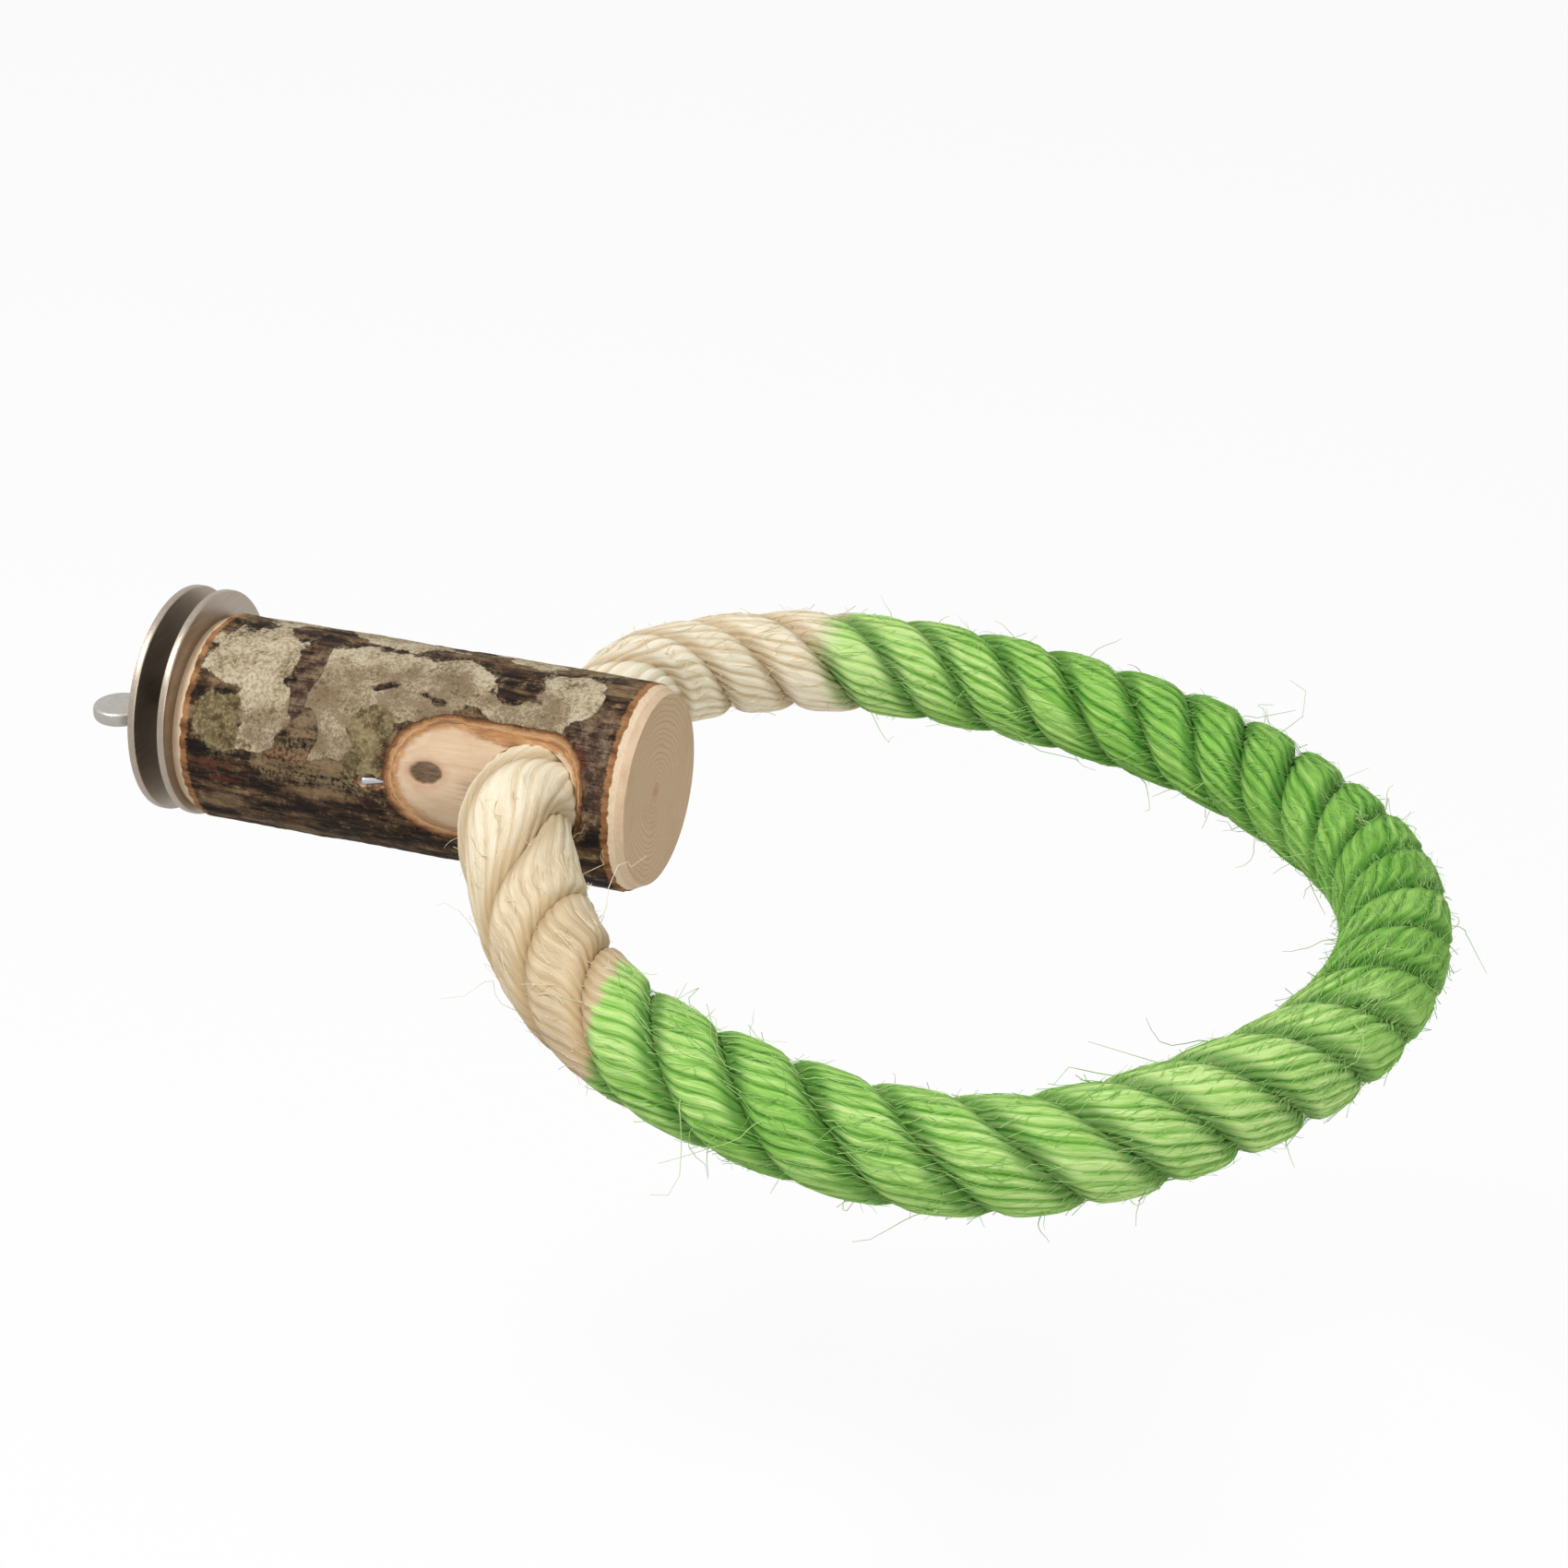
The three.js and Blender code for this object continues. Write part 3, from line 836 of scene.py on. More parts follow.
def rope_path():
    """Points at even steps along the centripetal Catmull-Rom curve through the route."""
    knots = [ROPE_HOLE + Vector(p) * MM for p in ROPE_ROUTE]
    knots = [knots[0] * 2 - knots[1], *knots, knots[-1] * 2 - knots[-2]]
    dense = [knots[1]]
    for before, start, end, after in zip(knots, knots[1:], knots[2:], knots[3:]):
        steps = ((before, start), (start, end), (end, after))
        d0, d1, d2 = ((b - a).length ** 0.5 for a, b in steps)
        leave = ((start - before) / d0 - (end - before) / (d0 + d1) + (end - start) / d1) * d1
        arrive = ((end - start) / d1 - (after - start) / (d1 + d2) + (after - end) / d2) * d1
        for t in np.linspace(0, 1, 33)[1:]:
            dense.append(
                start * (2 * t**3 - 3 * t**2 + 1)
                + leave * (t**3 - 2 * t**2 + t)
                + end * (3 * t**2 - 2 * t**3)
                + arrive * (t**3 - t**2)
            )
    points = np.array([tuple(p) for p in dense])
    run = np.concatenate([[0], np.cumsum(np.linalg.norm(np.diff(points, axis=0), axis=1))])
    even = np.linspace(0, run[-1], int(run[-1] / ROPE_PATH_STEP) + 1)
    return np.stack([np.interp(even, run, points[:, i]) for i in range(3)], axis=1), run[-1]


def across_rope(graph, curve, share):
    """The route's point there, and the directions along it, outwards from the ring and down."""
    inputs = {"Curves": curve, "Factor": share}
    sample = graph.add("GeometryNodeSampleCurve", {"mode": "FACTOR"}, inputs)
    place = sample.out("Position")
    forward = sample.out("Tangent").unit()
    outwards = forward.cross(UP).unit()
    return place, forward, outwards, forward.cross(outwards)


def strand_turn(along, lay):
    """Angle round the rope of its first strand, which is slacker by the near mouth."""
    return along / lay * (2 * math.pi) + sum(along.step(*slack) for slack in SLACK_TURNS)


def brushed(along):
    """Share by which the strands are brushed together there, round the tip of the ring."""
    return along.step(BRUSHED[0], BRUSHED[1]) * along.step(BRUSHED[3], BRUSHED[2])


def route_line(name, path):
    """The route as a bare line of points, for a tree to grow a piece along."""
    mesh = bpy.data.meshes.new(name)
    mesh.from_pydata([tuple(p) for p in path], [(i, i + 1) for i in range(len(path) - 1)], [])
    line = bpy.data.objects.new(name, mesh)
    bpy.context.scene.collection.objects.link(line)
    return line


def build_rope(path):
    """Three twisted strands of yarns, each one a closed grid wrapped round its own line."""
    numbers = {
        "Rows": STRAND_ROWS,
        "Sides": YARNS * YARN_SIDES + 1,
        "Lay": ROPE_LAY,
        "Centre": STRAND_CENTRE,
        "Half height": STRAND_HALF_HEIGHT,
        "Half width": STRAND_HALF_WIDTH,
        "Yarns": float(YARNS),
        "Yarn lay": YARN_LAY,
        "Groove": YARN_GROOVE,
        "Lump": YARN_LUMP,
    }
    graph, source = start_tree("twisted_strands", numbers)
    curve = graph.add("GeometryNodeMeshToCurve", inputs={"Mesh": source})
    total = graph.add("GeometryNodeCurveLength", inputs={"Curve": curve})
    rows, sides, lay, yarns = (source.out(n) for n in ("Rows", "Sides", "Lay", "Yarns"))
    strands = []
    for number in range(STRANDS):
        grid = graph.add(
            "GeometryNodeMeshGrid",
            inputs={"Size X": 1.0, "Size Y": 1.0, "Vertices X": rows, "Vertices Y": sides},
        )
        u, v, _ = graph.add("GeometryNodeInputPosition").parts()
        row = (u + 0.5) * (rows - 1.0)
        share = ((row - 1.0) / (rows - 3.0)).at_least(0.0).at_most(1.0)
        body = (row > 0.5) * (row < rows - 1.5)
        along = share * total
        place, forward, outwards, down = across_rope(graph, curve, share)
        yarn_turn = v * (2 * math.pi)
        around = yarn_turn - along / source.out("Yarn lay") * (2 * math.pi)
        around = around - sum(along.step(*extra) for extra in YARN_TURNS)
        yarn_y = yarn_turn.cos() * yarns / (2 * math.pi)
        yarn_z = yarn_turn.sin() * yarns / (2 * math.pi)
        swell = graph.vector(along * SWELLS_PER_METRE, number * 5.0, 0.0)
        swell = graph.noise(swell, 1.0, 0.0) - 0.5
        turn = strand_turn(along, lay) + number * 2 * math.pi / STRANDS + swell * SWELL_TURN
        radial = outwards * turn.cos() + down * turn.sin()
        tangential = down * turn.cos() - outwards * turn.sin()

        crest = 1.0 - abs(((v + 0.5) * yarns).fraction() * 2.0 - 1.0) ** 2.0
        run = along + number * 0.3
        strength = graph.vector(run * SWELLS_PER_METRE, yarn_y * 0.8, yarn_z * 0.8)
        strength = graph.noise(strength, 1.0, 1.0).step(0.32, 0.6, 0.3, 1.0)
        strength = strength * along.step(*FAINT_GROOVES) * (1.0 - brushed(along) * 0.25)
        lump = graph.vector(run * LUMPS_PER_METRE, yarn_y * 0.9, yarn_z * 0.9)
        lump = graph.noise(lump, 1.0, 1.0) - 0.5
        relief = (crest - 1.0) * strength * source.out("Groove") + lump * source.out("Lump")
        size = 1.0 + swell * SWELL_SIZE
        squeezed = (total - along).step(*SQUEEZED_FROM_END)
        wide = size + squeezed + along.step(*SQUEEZED) + brushed(along) * 0.1
        reach = (source.out("Half height") * size + relief) * around.cos() * body
        aside = (source.out("Half width") * wide + relief) * around.sin() * body
        offset = radial * (source.out("Centre") + reach) + tangential * aside

        strand = keep(
            graph,
            grid,
            along=along,
            yarn_y=yarn_y,
            yarn_z=yarn_z,
            strand=float(number),
            total=total,
            crown=around.cos(),
            ridge=1.0 + (crest - 1.0) * strength,
            outward=offset.unit().dot(outwards),
            upward=offset.unit().dot(down) * -1.0,
            forward=forward,
        )
        strand = graph.add(
            "GeometryNodeSetPosition", inputs={"Geometry": strand, "Position": place + offset}
        )
        strands.append(
            graph.add("GeometryNodeMergeByDistance", inputs={"Geometry": strand, "Distance": 1e-6})
        )
    joined = graph.add("GeometryNodeJoinGeometry", inputs={"Geometry": strands})
    smooth = graph.add("GeometryNodeSetShadeSmooth", inputs={"Geometry": joined})
    end_tree(graph, smooth, SISAL)

    rope = grow(route_line("twisted_rope", path), graph, numbers)
    tidy(rope)
    return rope


def hair_lines(graph, points, **placing):
    """A straight hair on every point, and the share of the way along it."""
    line = graph.add("GeometryNodeCurvePrimitiveLine", inputs={"End": UP})
    line = graph.add("GeometryNodeResampleCurve", inputs={"Curve": line, "Count": HAIR_POINTS})
    inputs = {"Points": points, "Instance": line, **placing}
    hairs = graph.add("GeometryNodeInstanceOnPoints", inputs=inputs)
    hairs = graph.add("GeometryNodeRealizeInstances", inputs={"Geometry": hairs})
    return hairs, graph.add("GeometryNodeSplineParameter")


def fibre_solid(graph, hairs, radius, factor):
    """Thin solid along each hair, finer towards its tip."""
    inputs = {"Resolution": HAIR_SIDES, "Radius": radius}
    section = graph.add("GeometryNodeCurvePrimitiveCircle", inputs=inputs)
    return graph.add(
        "GeometryNodeCurveToMesh",
        inputs={
            "Curve": hairs,
            "Profile Curve": section,
            "Scale": 1.0 - factor * HAIR_TAPER,
            "Fill Caps": True,
        },
    )


def build_lying_fibres(path, length):
    """Fibres that lie along the yarns and bridge the grooves between the strands."""
    numbers = {
        "Fibres": 4200,
        "Shortest": 5 * MM,
        "Longest": 17 * MM,
        "Radius": 0.065 * MM,
        "Height": 0.22 * MM,
        "Sink": 2.1 * MM,
        "Rise": 2.0 * MM,
        "Lay": ROPE_LAY,
    }
    graph, source = start_tree("lying_fibres", numbers)
    curve = graph.add("GeometryNodeMeshToCurve", inputs={"Mesh": source})
    total = graph.add("GeometryNodeCurveLength", inputs={"Curve": curve})
    points = graph.add("GeometryNodePoints", inputs={"Count": source.out("Fibres")})
    longer = source.out("Longest") - source.out("Shortest")
    share = scattered(graph, 0.0, 1.0, 2)
    share = share + (share * (2 * math.pi)).sin() * (0.55 / (2 * math.pi))
    points = keep(
        graph,
        points,
        middle=share * (length - 2 * LYING_FROM_END) + LYING_FROM_END,
        turn=scattered(graph, 0.0, 2 * math.pi, 3),
        reach=scattered(graph, 0.0, 1.0, 1) ** 1.6 * longer + source.out("Shortest"),
        lean=scattered(graph, -50.0, 30.0, 4),
        curl=scattered(graph, -0.5, 0.5, 5),
        rise=scattered(graph, 0.0, 1.0, 6) ** 14.0,
        shade=scattered(graph, 0.0, 1.0, 7),
    )
    hairs, factor = hair_lines(graph, points)
    offset = factor - 0.5
    working = ("middle", "turn", "reach", "lean", "curl", "rise")
    middle, turn, reach, lean, curl, rise = (read(graph, name) for name in working)
    along = middle + offset * reach
    around = turn + offset * reach * lean + offset * offset * curl * 1.4
    spot = (around - strand_turn(along, source.out("Lay"))) * (STRANDS / (2 * math.pi))
    groove = 1.0 - abs((spot.fraction() - 0.5) * 2.0)
    tip = abs(offset * 2.0) ** 4.0
    sunk = groove**4.0 * source.out("Sink") * (1.0 - brushed(along) * 0.5)
    risen = source.out("Height") + tip * rise * source.out("Rise")
    radius = ROPE_DIAMETER / 2 - sunk + risen
    place, _, outwards, down = across_rope(graph, curve, along / total)
    position = place + (outwards * around.cos() + down * around.sin()) * radius
    hairs = keep(graph, hairs, dyed=dye(along, around.cos(), around.sin() * -1.0, total))
    hairs = graph.add("GeometryNodeSetPosition", inputs={"Geometry": hairs, "Position": position})
    solid = fibre_solid(graph, hairs, source.out("Radius"), factor)
    end_tree(graph, graph.add("GeometryNodeSetShadeSmooth", inputs={"Geometry": solid}), FIBRE)
    return grow(route_line("lying_fibres", path), graph, numbers, working)


def build_fibres(rope, length):
    """Loose fibres that stand off the rope: short fuzz all over and some long strays."""
    numbers = {
        "Fuzz per area": 32000.0,
        "Fuzz shortest": 0.6 * MM,
        "Fuzz longest": 2.2 * MM,
        "Fuzz radius": 0.065 * MM,
        "Strays per area": 8500.0,
        "Strays shortest": 2.0 * MM,
        "Strays longest": 8.0 * MM,
        "Strays radius": 0.095 * MM,
    }
    graph, source = start_tree("loose_fibres", numbers)
    fields = ("along", "total", "outward", "upward", "crown")
    along, total, outward, upward, crown = (read(graph, name) for name in fields)
    shown = (along > LOOSE_FROM_END) * (along < length - LOOSE_FROM_END) * (crown > 0.0)
    from_end = along.at_most(length - along)
    dyed = dye(along, outward, upward, total)
    frayed = from_end.step(LOOSE_FROM_END, LOOSE_FROM_END + 16 * MM, 1.6, 1.0)
    frayed = frayed * (dyed * 0.5 + 0.5) * crown.step(0.3, 0.85, 0.15, 1.0)
    tufts = graph.noise(graph.add("GeometryNodeInputPosition"), 130.0, 1.0)
    frayed = frayed * tufts.step(0.5, 0.64, 0.45, 3.4)
    sets = []
    for kind, rise, waves, seed in (("Fuzz", 0.55, 700.0, 0), ("Strays", 0.75, 280.0, 40)):
        sizes = ("per area", "shortest", "longest", "radius")
        density, shortest, longest, radius = (source.out(f"{kind} {size}") for size in sizes)
        spots = graph.add(
            "GeometryNodeDistributePointsOnFaces",
            {"distribute_method": "RANDOM"},
            {
                "Mesh": source,
                "Selection": shown,
                "Density": density * frayed,
                "Seed": seed + 1,
            },
        )
        normal = spots.out("Normal")
        forward = read(graph, "forward", "FLOAT_VECTOR")
        stir = scattered(graph, -1.0, 1.0, seed + 2, "FLOAT_VECTOR")
        sense = scattered(graph, -1.0, 1.0, seed + 3).step(-0.1, 0.1, -1.0, 1.0)
        heading = normal * scattered(graph, 0.1, rise, seed + 4) + forward * sense + stir * 0.35
        reach = scattered(graph, 0.0, 1.0, seed + 5) ** 2.0 * (longest - shortest) + shortest
        points = keep(
            graph,
            spots,
            bend=stir * 1.3 - normal * 0.25,
            reach=reach,
            shade=scattered(graph, 0.0, 1.0, seed + 6),
        )
        aim = {"Vector": heading.unit()}
        turn = graph.add("FunctionNodeAlignRotationToVector", {"axis": "Z"}, aim)
        hairs, factor = hair_lines(graph, points, Rotation=turn, Scale=reach)
        sway = graph.noise(graph.add("GeometryNodeInputPosition"), waves, 0.0).out("Color")
        middle = {0: sway, 1: (0.5, 0.5, 0.5)}
        sway = graph.add("ShaderNodeVectorMath", {"operation": "SUBTRACT"}, middle)
        bend = read(graph, "bend", "FLOAT_VECTOR")
        shift = (bend * factor * factor + sway * factor * 3.2) * read(graph, "reach")
        hairs = graph.add("GeometryNodeSetPosition", inputs={"Geometry": hairs, "Offset": shift})
        hairs = keep(graph, hairs, dyed=dyed)
        sets.append(fibre_solid(graph, hairs, radius, factor))
    joined = graph.add("GeometryNodeJoinGeometry", inputs={"Geometry": sets})
    end_tree(graph, graph.add("GeometryNodeSetShadeSmooth", inputs={"Geometry": joined}), FIBRE)

    fibres = bpy.data.objects.new("loose_fibres", rope.data.copy())
    bpy.context.scene.collection.objects.link(fibres)
    return grow(fibres, graph, numbers, ("forward", "bend", "reach"))


# Log


CARVING = Noise(11)
RELIEF = Noise(23)


def flat_frame():
    """Directions out of the peeled flat and up along it."""
    out = Vector((0, -math.cos(FLAT_TILT), math.sin(FLAT_TILT)))
    side = Vector((0, math.sin(FLAT_TILT), math.cos(FLAT_TILT)))
    return out, side


def flat_surface(x, side):
    """Height of the peeled cut over the log's axis, with its tool marks, rim and knot."""
    left = np.maximum(0, FLAT_LEFT + FLAT_LEFT_RAMP - x) / FLAT_LEFT_RAMP
    right = np.maximum(0, x - FLAT_RIGHT + FLAT_RIGHT_RAMP) / FLAT_RIGHT_RAMP
    height = FLAT_FLOOR - FLAT_CROWN * side**2 + (LOG_RADIUS - FLAT_FLOOR) * (left**2 + right**2)
    points = np.stack([x, side, np.zeros_like(x)], axis=1)
    from_middle = np.hypot(side / FLAT_HALF_WIDTH, np.maximum(left, right))
    rim = np.clip((from_middle - 0.72) / 0.2, 0, 1)
    height += CARVING(points, (9 * MM, 3 * MM, 1)) * 0.10 * MM
    height += CARVING(points, (1.6 * MM, 1.0 * MM, 1), 3) * (0.02 + 0.09 * rim) * MM
    knot = np.hypot((x - KNOT_X) / KNOT_HALF_LENGTH, (side - KNOT_SIDE) / KNOT_HALF_WIDTH)
    height -= np.clip(1.15 - knot, 0, 0.25) * 0.9 * MM
    cracks = CARVING(points, (0.9 * MM, 0.35 * MM, 1), 2)
    height += np.clip(1 - knot, 0, 1) ** 0.5 * cracks * 0.12 * MM
    return height


def flat_cutter():
    """Solid that stands on the peeled cut and reaches out past the log."""
    out, side_axis = flat_frame()
    xs = np.arange(FLAT_LEFT - 3 * MM, FLAT_RIGHT + 3 * MM, 0.25 * MM)
    sides = np.arange(-14 * MM, 14 * MM, 0.25 * MM)
    top = LOG_RADIUS + 6 * MM
    rings = []
    for x in xs:
        heights = flat_surface(np.full(len(sides), x), sides)
        ring = [(x, *(out * h + side_axis * s)[1:]) for h, s in zip(heights, sides)]
        ring += [(x, *(out * top + side_axis * s)[1:]) for s in (sides[-1], sides[0])]
        rings.append(np.array(ring) + (0, 0, LOG_AXIS_HEIGHT))
    return loft("flat_cutter", rings)


def rope_hole_cutter():
    """Drilled hole across the log, with splintered mouths."""
    angles = np.linspace(0, 2 * math.pi, 120, endpoint=False)
    cos, sin = np.cos(angles), np.sin(angles)
    mouth = np.linspace(12, 24, 40)
    rings = []
    for y in np.concatenate([-mouth[::-1], np.linspace(-11, 11, 6), mouth]) * MM:
        outer = min(max(0.0, (abs(y) - 12 * MM) / (4 * MM)), 1.0)
        points = np.stack([cos * 4, sin * 4, np.full(len(angles), y / (3 * MM))], axis=1)
        ragged = np.maximum(0, CARVING(points + 5, 0.45, 2)) * 0.9 * MM * outer
        radius = ROPE_DIAMETER / 2 + ROPE_HOLE_CLEARANCE + ragged
        ring = [ROPE_HOLE.x + radius * cos, np.full(len(angles), y), ROPE_HOLE.z + radius * sin]
        rings.append(np.stack(ring, axis=1))
    return loft("rope_hole_cutter", rings)


def pin_line(side):
    """Head and direction of the pin on one side of the log."""
    surface = math.sqrt(LOG_RADIUS**2 - (ROPE_HOLE.z - LOG_AXIS_HEIGHT) ** 2)
    head = Vector((ROPE_HOLE.x - PIN_BEHIND_HOLE, side * surface, ROPE_HOLE.z))
    return head, Vector((math.cos(PIN_SLANT), -side * math.sin(PIN_SLANT), 0))


def rod_along(name, head, direction, profile, sides, material=None):
    """Turned piece along any line, from a profile of (distance from its head, radius)."""
    rod = turned(name, profile, sides, material)
    turn = Vector((1, 0, 0)).rotation_difference(direction).to_matrix().to_4x4()
    rod.data.transform(Matrix.Translation(head) @ turn)
    return rod


def pin_cutters(side):
    """The pin's own hole, and the torn groove in the bark over its head."""
    head, along = pin_line(side)
    reach = PIN_LENGTH + 0.3 * MM
    radius = PIN_RADIUS + 0.12 * MM
    hole = rod_along("pin_hole", head, along, [(-4 * MM, radius), (reach, radius)], 24)
    angles = np.linspace(0, 2 * math.pi, 48, endpoint=False)
    cos, sin = np.cos(angles), np.sin(angles)
    rings = []
    for depth in np.linspace(-1.2, 1.7, 12) * MM:
        shrink = math.sqrt(max(0.02, 1 - max(0.0, depth / (1.75 * MM)) ** 2))
        points = np.stack([cos * 2, sin * 2, np.full(len(angles), side + depth / MM)], axis=1)
        size = shrink * (1 + 0.28 * CARVING(points, 0.8, 2))
        ring = [
            head.x + 1.4 * MM + GROOVE_HALF_LENGTH * size * cos,
            np.full(len(angles), head.y - side * depth),
            head.z - 0.25 * MM + GROOVE_HALF_WIDTH * size * sin,
        ]
        rings.append(np.stack(ring, axis=1))
    return hole, loft("pin_groove", rings)


def log_cutters(*others):
    """All that is cut out of both the wood and the bark, with others in between."""
    pins = [cutter for side in (-1, 1) for cutter in pin_cutters(side)]
    return [flat_cutter(), rope_hole_cutter(), *others, *pins]


def bevel_x(radius, wall):
    """Where the bevelled end of the log has that radius."""
    if wall:
        return LOG_WALL_END + WALL_BEVEL_LENGTH * (1 - (LOG_RADIUS - radius) / WALL_BEVEL_DEPTH)
    return LOG_NOSE_END - NOSE_BEVEL_LENGTH * (1 - (LOG_RADIUS - radius) / NOSE_BEVEL_DEPTH)


def build_wood():
    """The log's wood: bevelled ends, the peeled flat, its holes and a sawn face with its rings."""
    face = LOG_RADIUS - NOSE_BEVEL_DEPTH
    back = LOG_RADIUS - WALL_BEVEL_DEPTH
    profile = [(LOG_WALL_END, r) for r in np.linspace(0, back, 8)]
    profile += [(bevel_x(WOOD_RADIUS, True), WOOD_RADIUS)]
    start, end = bevel_x(WOOD_RADIUS, True), bevel_x(WOOD_RADIUS, False)
    profile += [(x, WOOD_RADIUS) for x in np.linspace(start, end, 40)[1:]]
    profile += [
        (end + (LOG_NOSE_END - end) * t, WOOD_RADIUS + (face - WOOD_RADIUS) * t)
        for t in np.linspace(0, 1, 6)[1:-1]
    ]
    profile += [(LOG_NOSE_END - 0.06 * MM, face + 0.02 * MM), (LOG_NOSE_END, face - 0.12 * MM)]
    profile += [(LOG_NOSE_END, r) for r in np.linspace(face - 0.5 * MM, 0, 30)]
    wood = turned("sawn_log", profile, 160, WOOD, LOG_AXIS_HEIGHT)
    pilot = turned("pilot_hole", screw_outline(0.1 * MM), 32)
    join_or_cut(wood, "DIFFERENCE", *log_cutters(pilot))
    points = coordinates(wood)
    ring = np.hypot(points[:, 1], points[:, 2] - LOG_AXIS_HEIGHT)
    at_nose = points[:, 0] > LOG_NOSE_END - 0.5 * MM
    wave = np.sin(2 * math.pi * ring / GROWTH_RING + CARVING(points, 4 * MM) * 2)
    points[:, 0] += np.where(at_nose & (ring < face - 0.4 * MM), wave * 0.012 * MM, 0)
    set_coordinates(wood, points)
    soften(wood, 35)
    return wood


# Crusts and spots on the bark: middle along the log, middle round it (degrees up from the side
# that the flat is on), half length and half arc
PALE_CRUSTS = [
    (12.5, 68, 8.5, 7.6), (17.5, 36, 6.0, 5.6), (16, 19, 4.0, 3.2), (32.5, 72, 8.5, 6.2),
    (31, 48, 8.0, 6.0), (28, 28, 6.0, 5.0), (47, 70, 12.0, 6.0), (42, 52, 8.0, 3.5),
    (62, 57, 6.5, 2.6), (69, 74, 6.0, 7.0), (66, 58, 6, 3), (36, 108, 10, 5), (60, 118, 9, 6),
    (14, 128, 7, 8), (74, 150, 5, 6), (42, 158, 9, 6), (20, 178, 6, 5), (58, 196, 8, 5),
    (8, 220, 4, 6), (36, 236, 8, 4),
]
GREEN_CRUSTS = [
    (8.8, 27, 4.9, 5.2), (37, 36, 3.6, 4.2), (36.5, 12, 3.2, 4.0), (70, 112, 6, 4),
    (30, 205, 6, 4),
]
RED_SPOTS = [
    (21.5, 11, 4.6, 1.7), (8, -1, 6, 0.9), (11, -9, 5, 0.7), (74.5, 37, 2.4, 2.6),
    (50, 140, 5, 1.5), (26, 250, 6, 1.5),
]
CLEAR_SPOTS = [(22.6, 66, 2.3, 9.0), (60, 76, 4.3, 4.0), (24.5, 24, 2.6, 4.0)]
THIN_SPOTS = [(31, 38, 10, 8), (44, 60, 10, 5), (62, 60, 8, 5), (20, 24, 6, 4)]
SMOOTH_SPOTS = [(76, 28, 5, 10), (74, 58, 5, 4), (24, 52, 3, 9)]
VEILED_SPOTS = [(30, 14, 12, 7), (13, 34, 7, 4), (20, 6, 6, 3), (58, 225, 12, 8), (30, 160, 10, 6)]


def turned_from(angle, degrees):
    """Angle from a direction round the log, the short way."""
    return np.angle(np.exp(1j * (angle - math.radians(degrees))))


def spot_field(spots, x, angle, ragged):
    """Above 0 inside any of the spots, and below 0 outside them all."""
    field = np.full(len(x), -1.0)
    for middle, degrees, half_length, half_arc in spots:
        ahead = (x - LOG_WALL_END - middle * MM) / (half_length * MM)
        away = turned_from(angle, degrees) * LOG_RADIUS / (half_arc * MM)
        field = np.maximum(field, 1 - np.hypot(ahead, away))
    return field + ragged


def build_bark():
    """The log's bark: a thin closed sleeve with relief, and fields for where its patches are."""
    rows = np.linspace(0, 1, 210)
    angles = np.linspace(0, 2 * math.pi, 300, endpoint=False)
    rings = []
    low, high = bevel_x(LOG_RADIUS, True), bevel_x(LOG_RADIUS, False)
    for share in rows:
        rings.append(circle(low + (high - low) * share, LOG_RADIUS, angles, LOG_AXIS_HEIGHT))
    band = np.linspace(LOG_RADIUS, BARK_INNER_RADIUS, 5)[1:]
    rings += [circle(bevel_x(r, False), r, angles, LOG_AXIS_HEIGHT) for r in band]
    inside = np.linspace(bevel_x(BARK_INNER_RADIUS, False), bevel_x(BARK_INNER_RADIUS, True), 12)
    rings += [circle(x, BARK_INNER_RADIUS, angles, LOG_AXIS_HEIGHT) for x in inside[1:]]
    rings += [circle(bevel_x(r, True), r, angles, LOG_AXIS_HEIGHT) for r in band[::-1][1:]]
    bark = loft("log_bark", rings, BARK, closed=True)
    join_or_cut(bark, "DIFFERENCE", *log_cutters())

    points = coordinates(bark)
    x, y, z = points[:, 0], points[:, 1], points[:, 2] - LOG_AXIS_HEIGHT
    radius = np.hypot(y, z)
    angle = np.arctan2(z, -y)
    shell = np.clip((radius - BARK_INNER_RADIUS) / (LOG_RADIUS - BARK_INNER_RADIUS), 0, 1)
    on_log = np.stack([x, LOG_RADIUS * np.cos(angle), LOG_RADIUS * np.sin(angle)], axis=1)
    ragged = RELIEF(on_log, 6 * MM, 4) * 0.34
    green = spot_field(GREEN_CRUSTS, x, angle, ragged)
    pale = np.maximum(spot_field(PALE_CRUSTS, x, angle, ragged), green)
    wild = RELIEF(on_log + 3, (22 * MM, 13 * MM, 13 * MM), 5) * 1.1 - 0.12
    hidden = np.clip((np.abs(turned_from(angle, 30)) - 1.25) / 0.5, 0, 1)
    pale = pale * (1 - hidden) + wild * hidden
    clear = spot_field(CLEAR_SPOTS, x, angle, ragged)
    crust = np.minimum(pale, -clear)
    streaks = RELIEF(on_log, (16 * MM, 1.6 * MM, 1.6 * MM), 2)
    bumps = RELIEF(on_log + 1, 2.4 * MM, 3)
    waves = RELIEF(on_log + 2, 14 * MM, 1)
    bare = np.clip(0.5 - crust * 6, 0, 1)
    relief = waves * 0.12 + streaks * (0.05 + 0.12 * bare) + bumps * (0.05 + 0.04 * bare)
    relief += np.clip(crust * 5, 0, 1) * 0.10
    relief = np.maximum(relief * MM, -0.12 * MM) * shell
    points[:, 1] += y / radius * relief
    points[:, 2] += z / radius * relief
    set_coordinates(bark, points)
    store(bark, "lichen", crust)
    store(bark, "green_crust", np.minimum(green, crust))
    store(bark, "red", spot_field(RED_SPOTS, x, angle, ragged * 0.8))
    for name, spots in (("thin", THIN_SPOTS), ("smooth", SMOOTH_SPOTS), ("veil", VEILED_SPOTS)):
        store(bark, name, spot_field(spots, x, angle, ragged))
    soften(bark, 50)
    return bark


# Clamp and pins


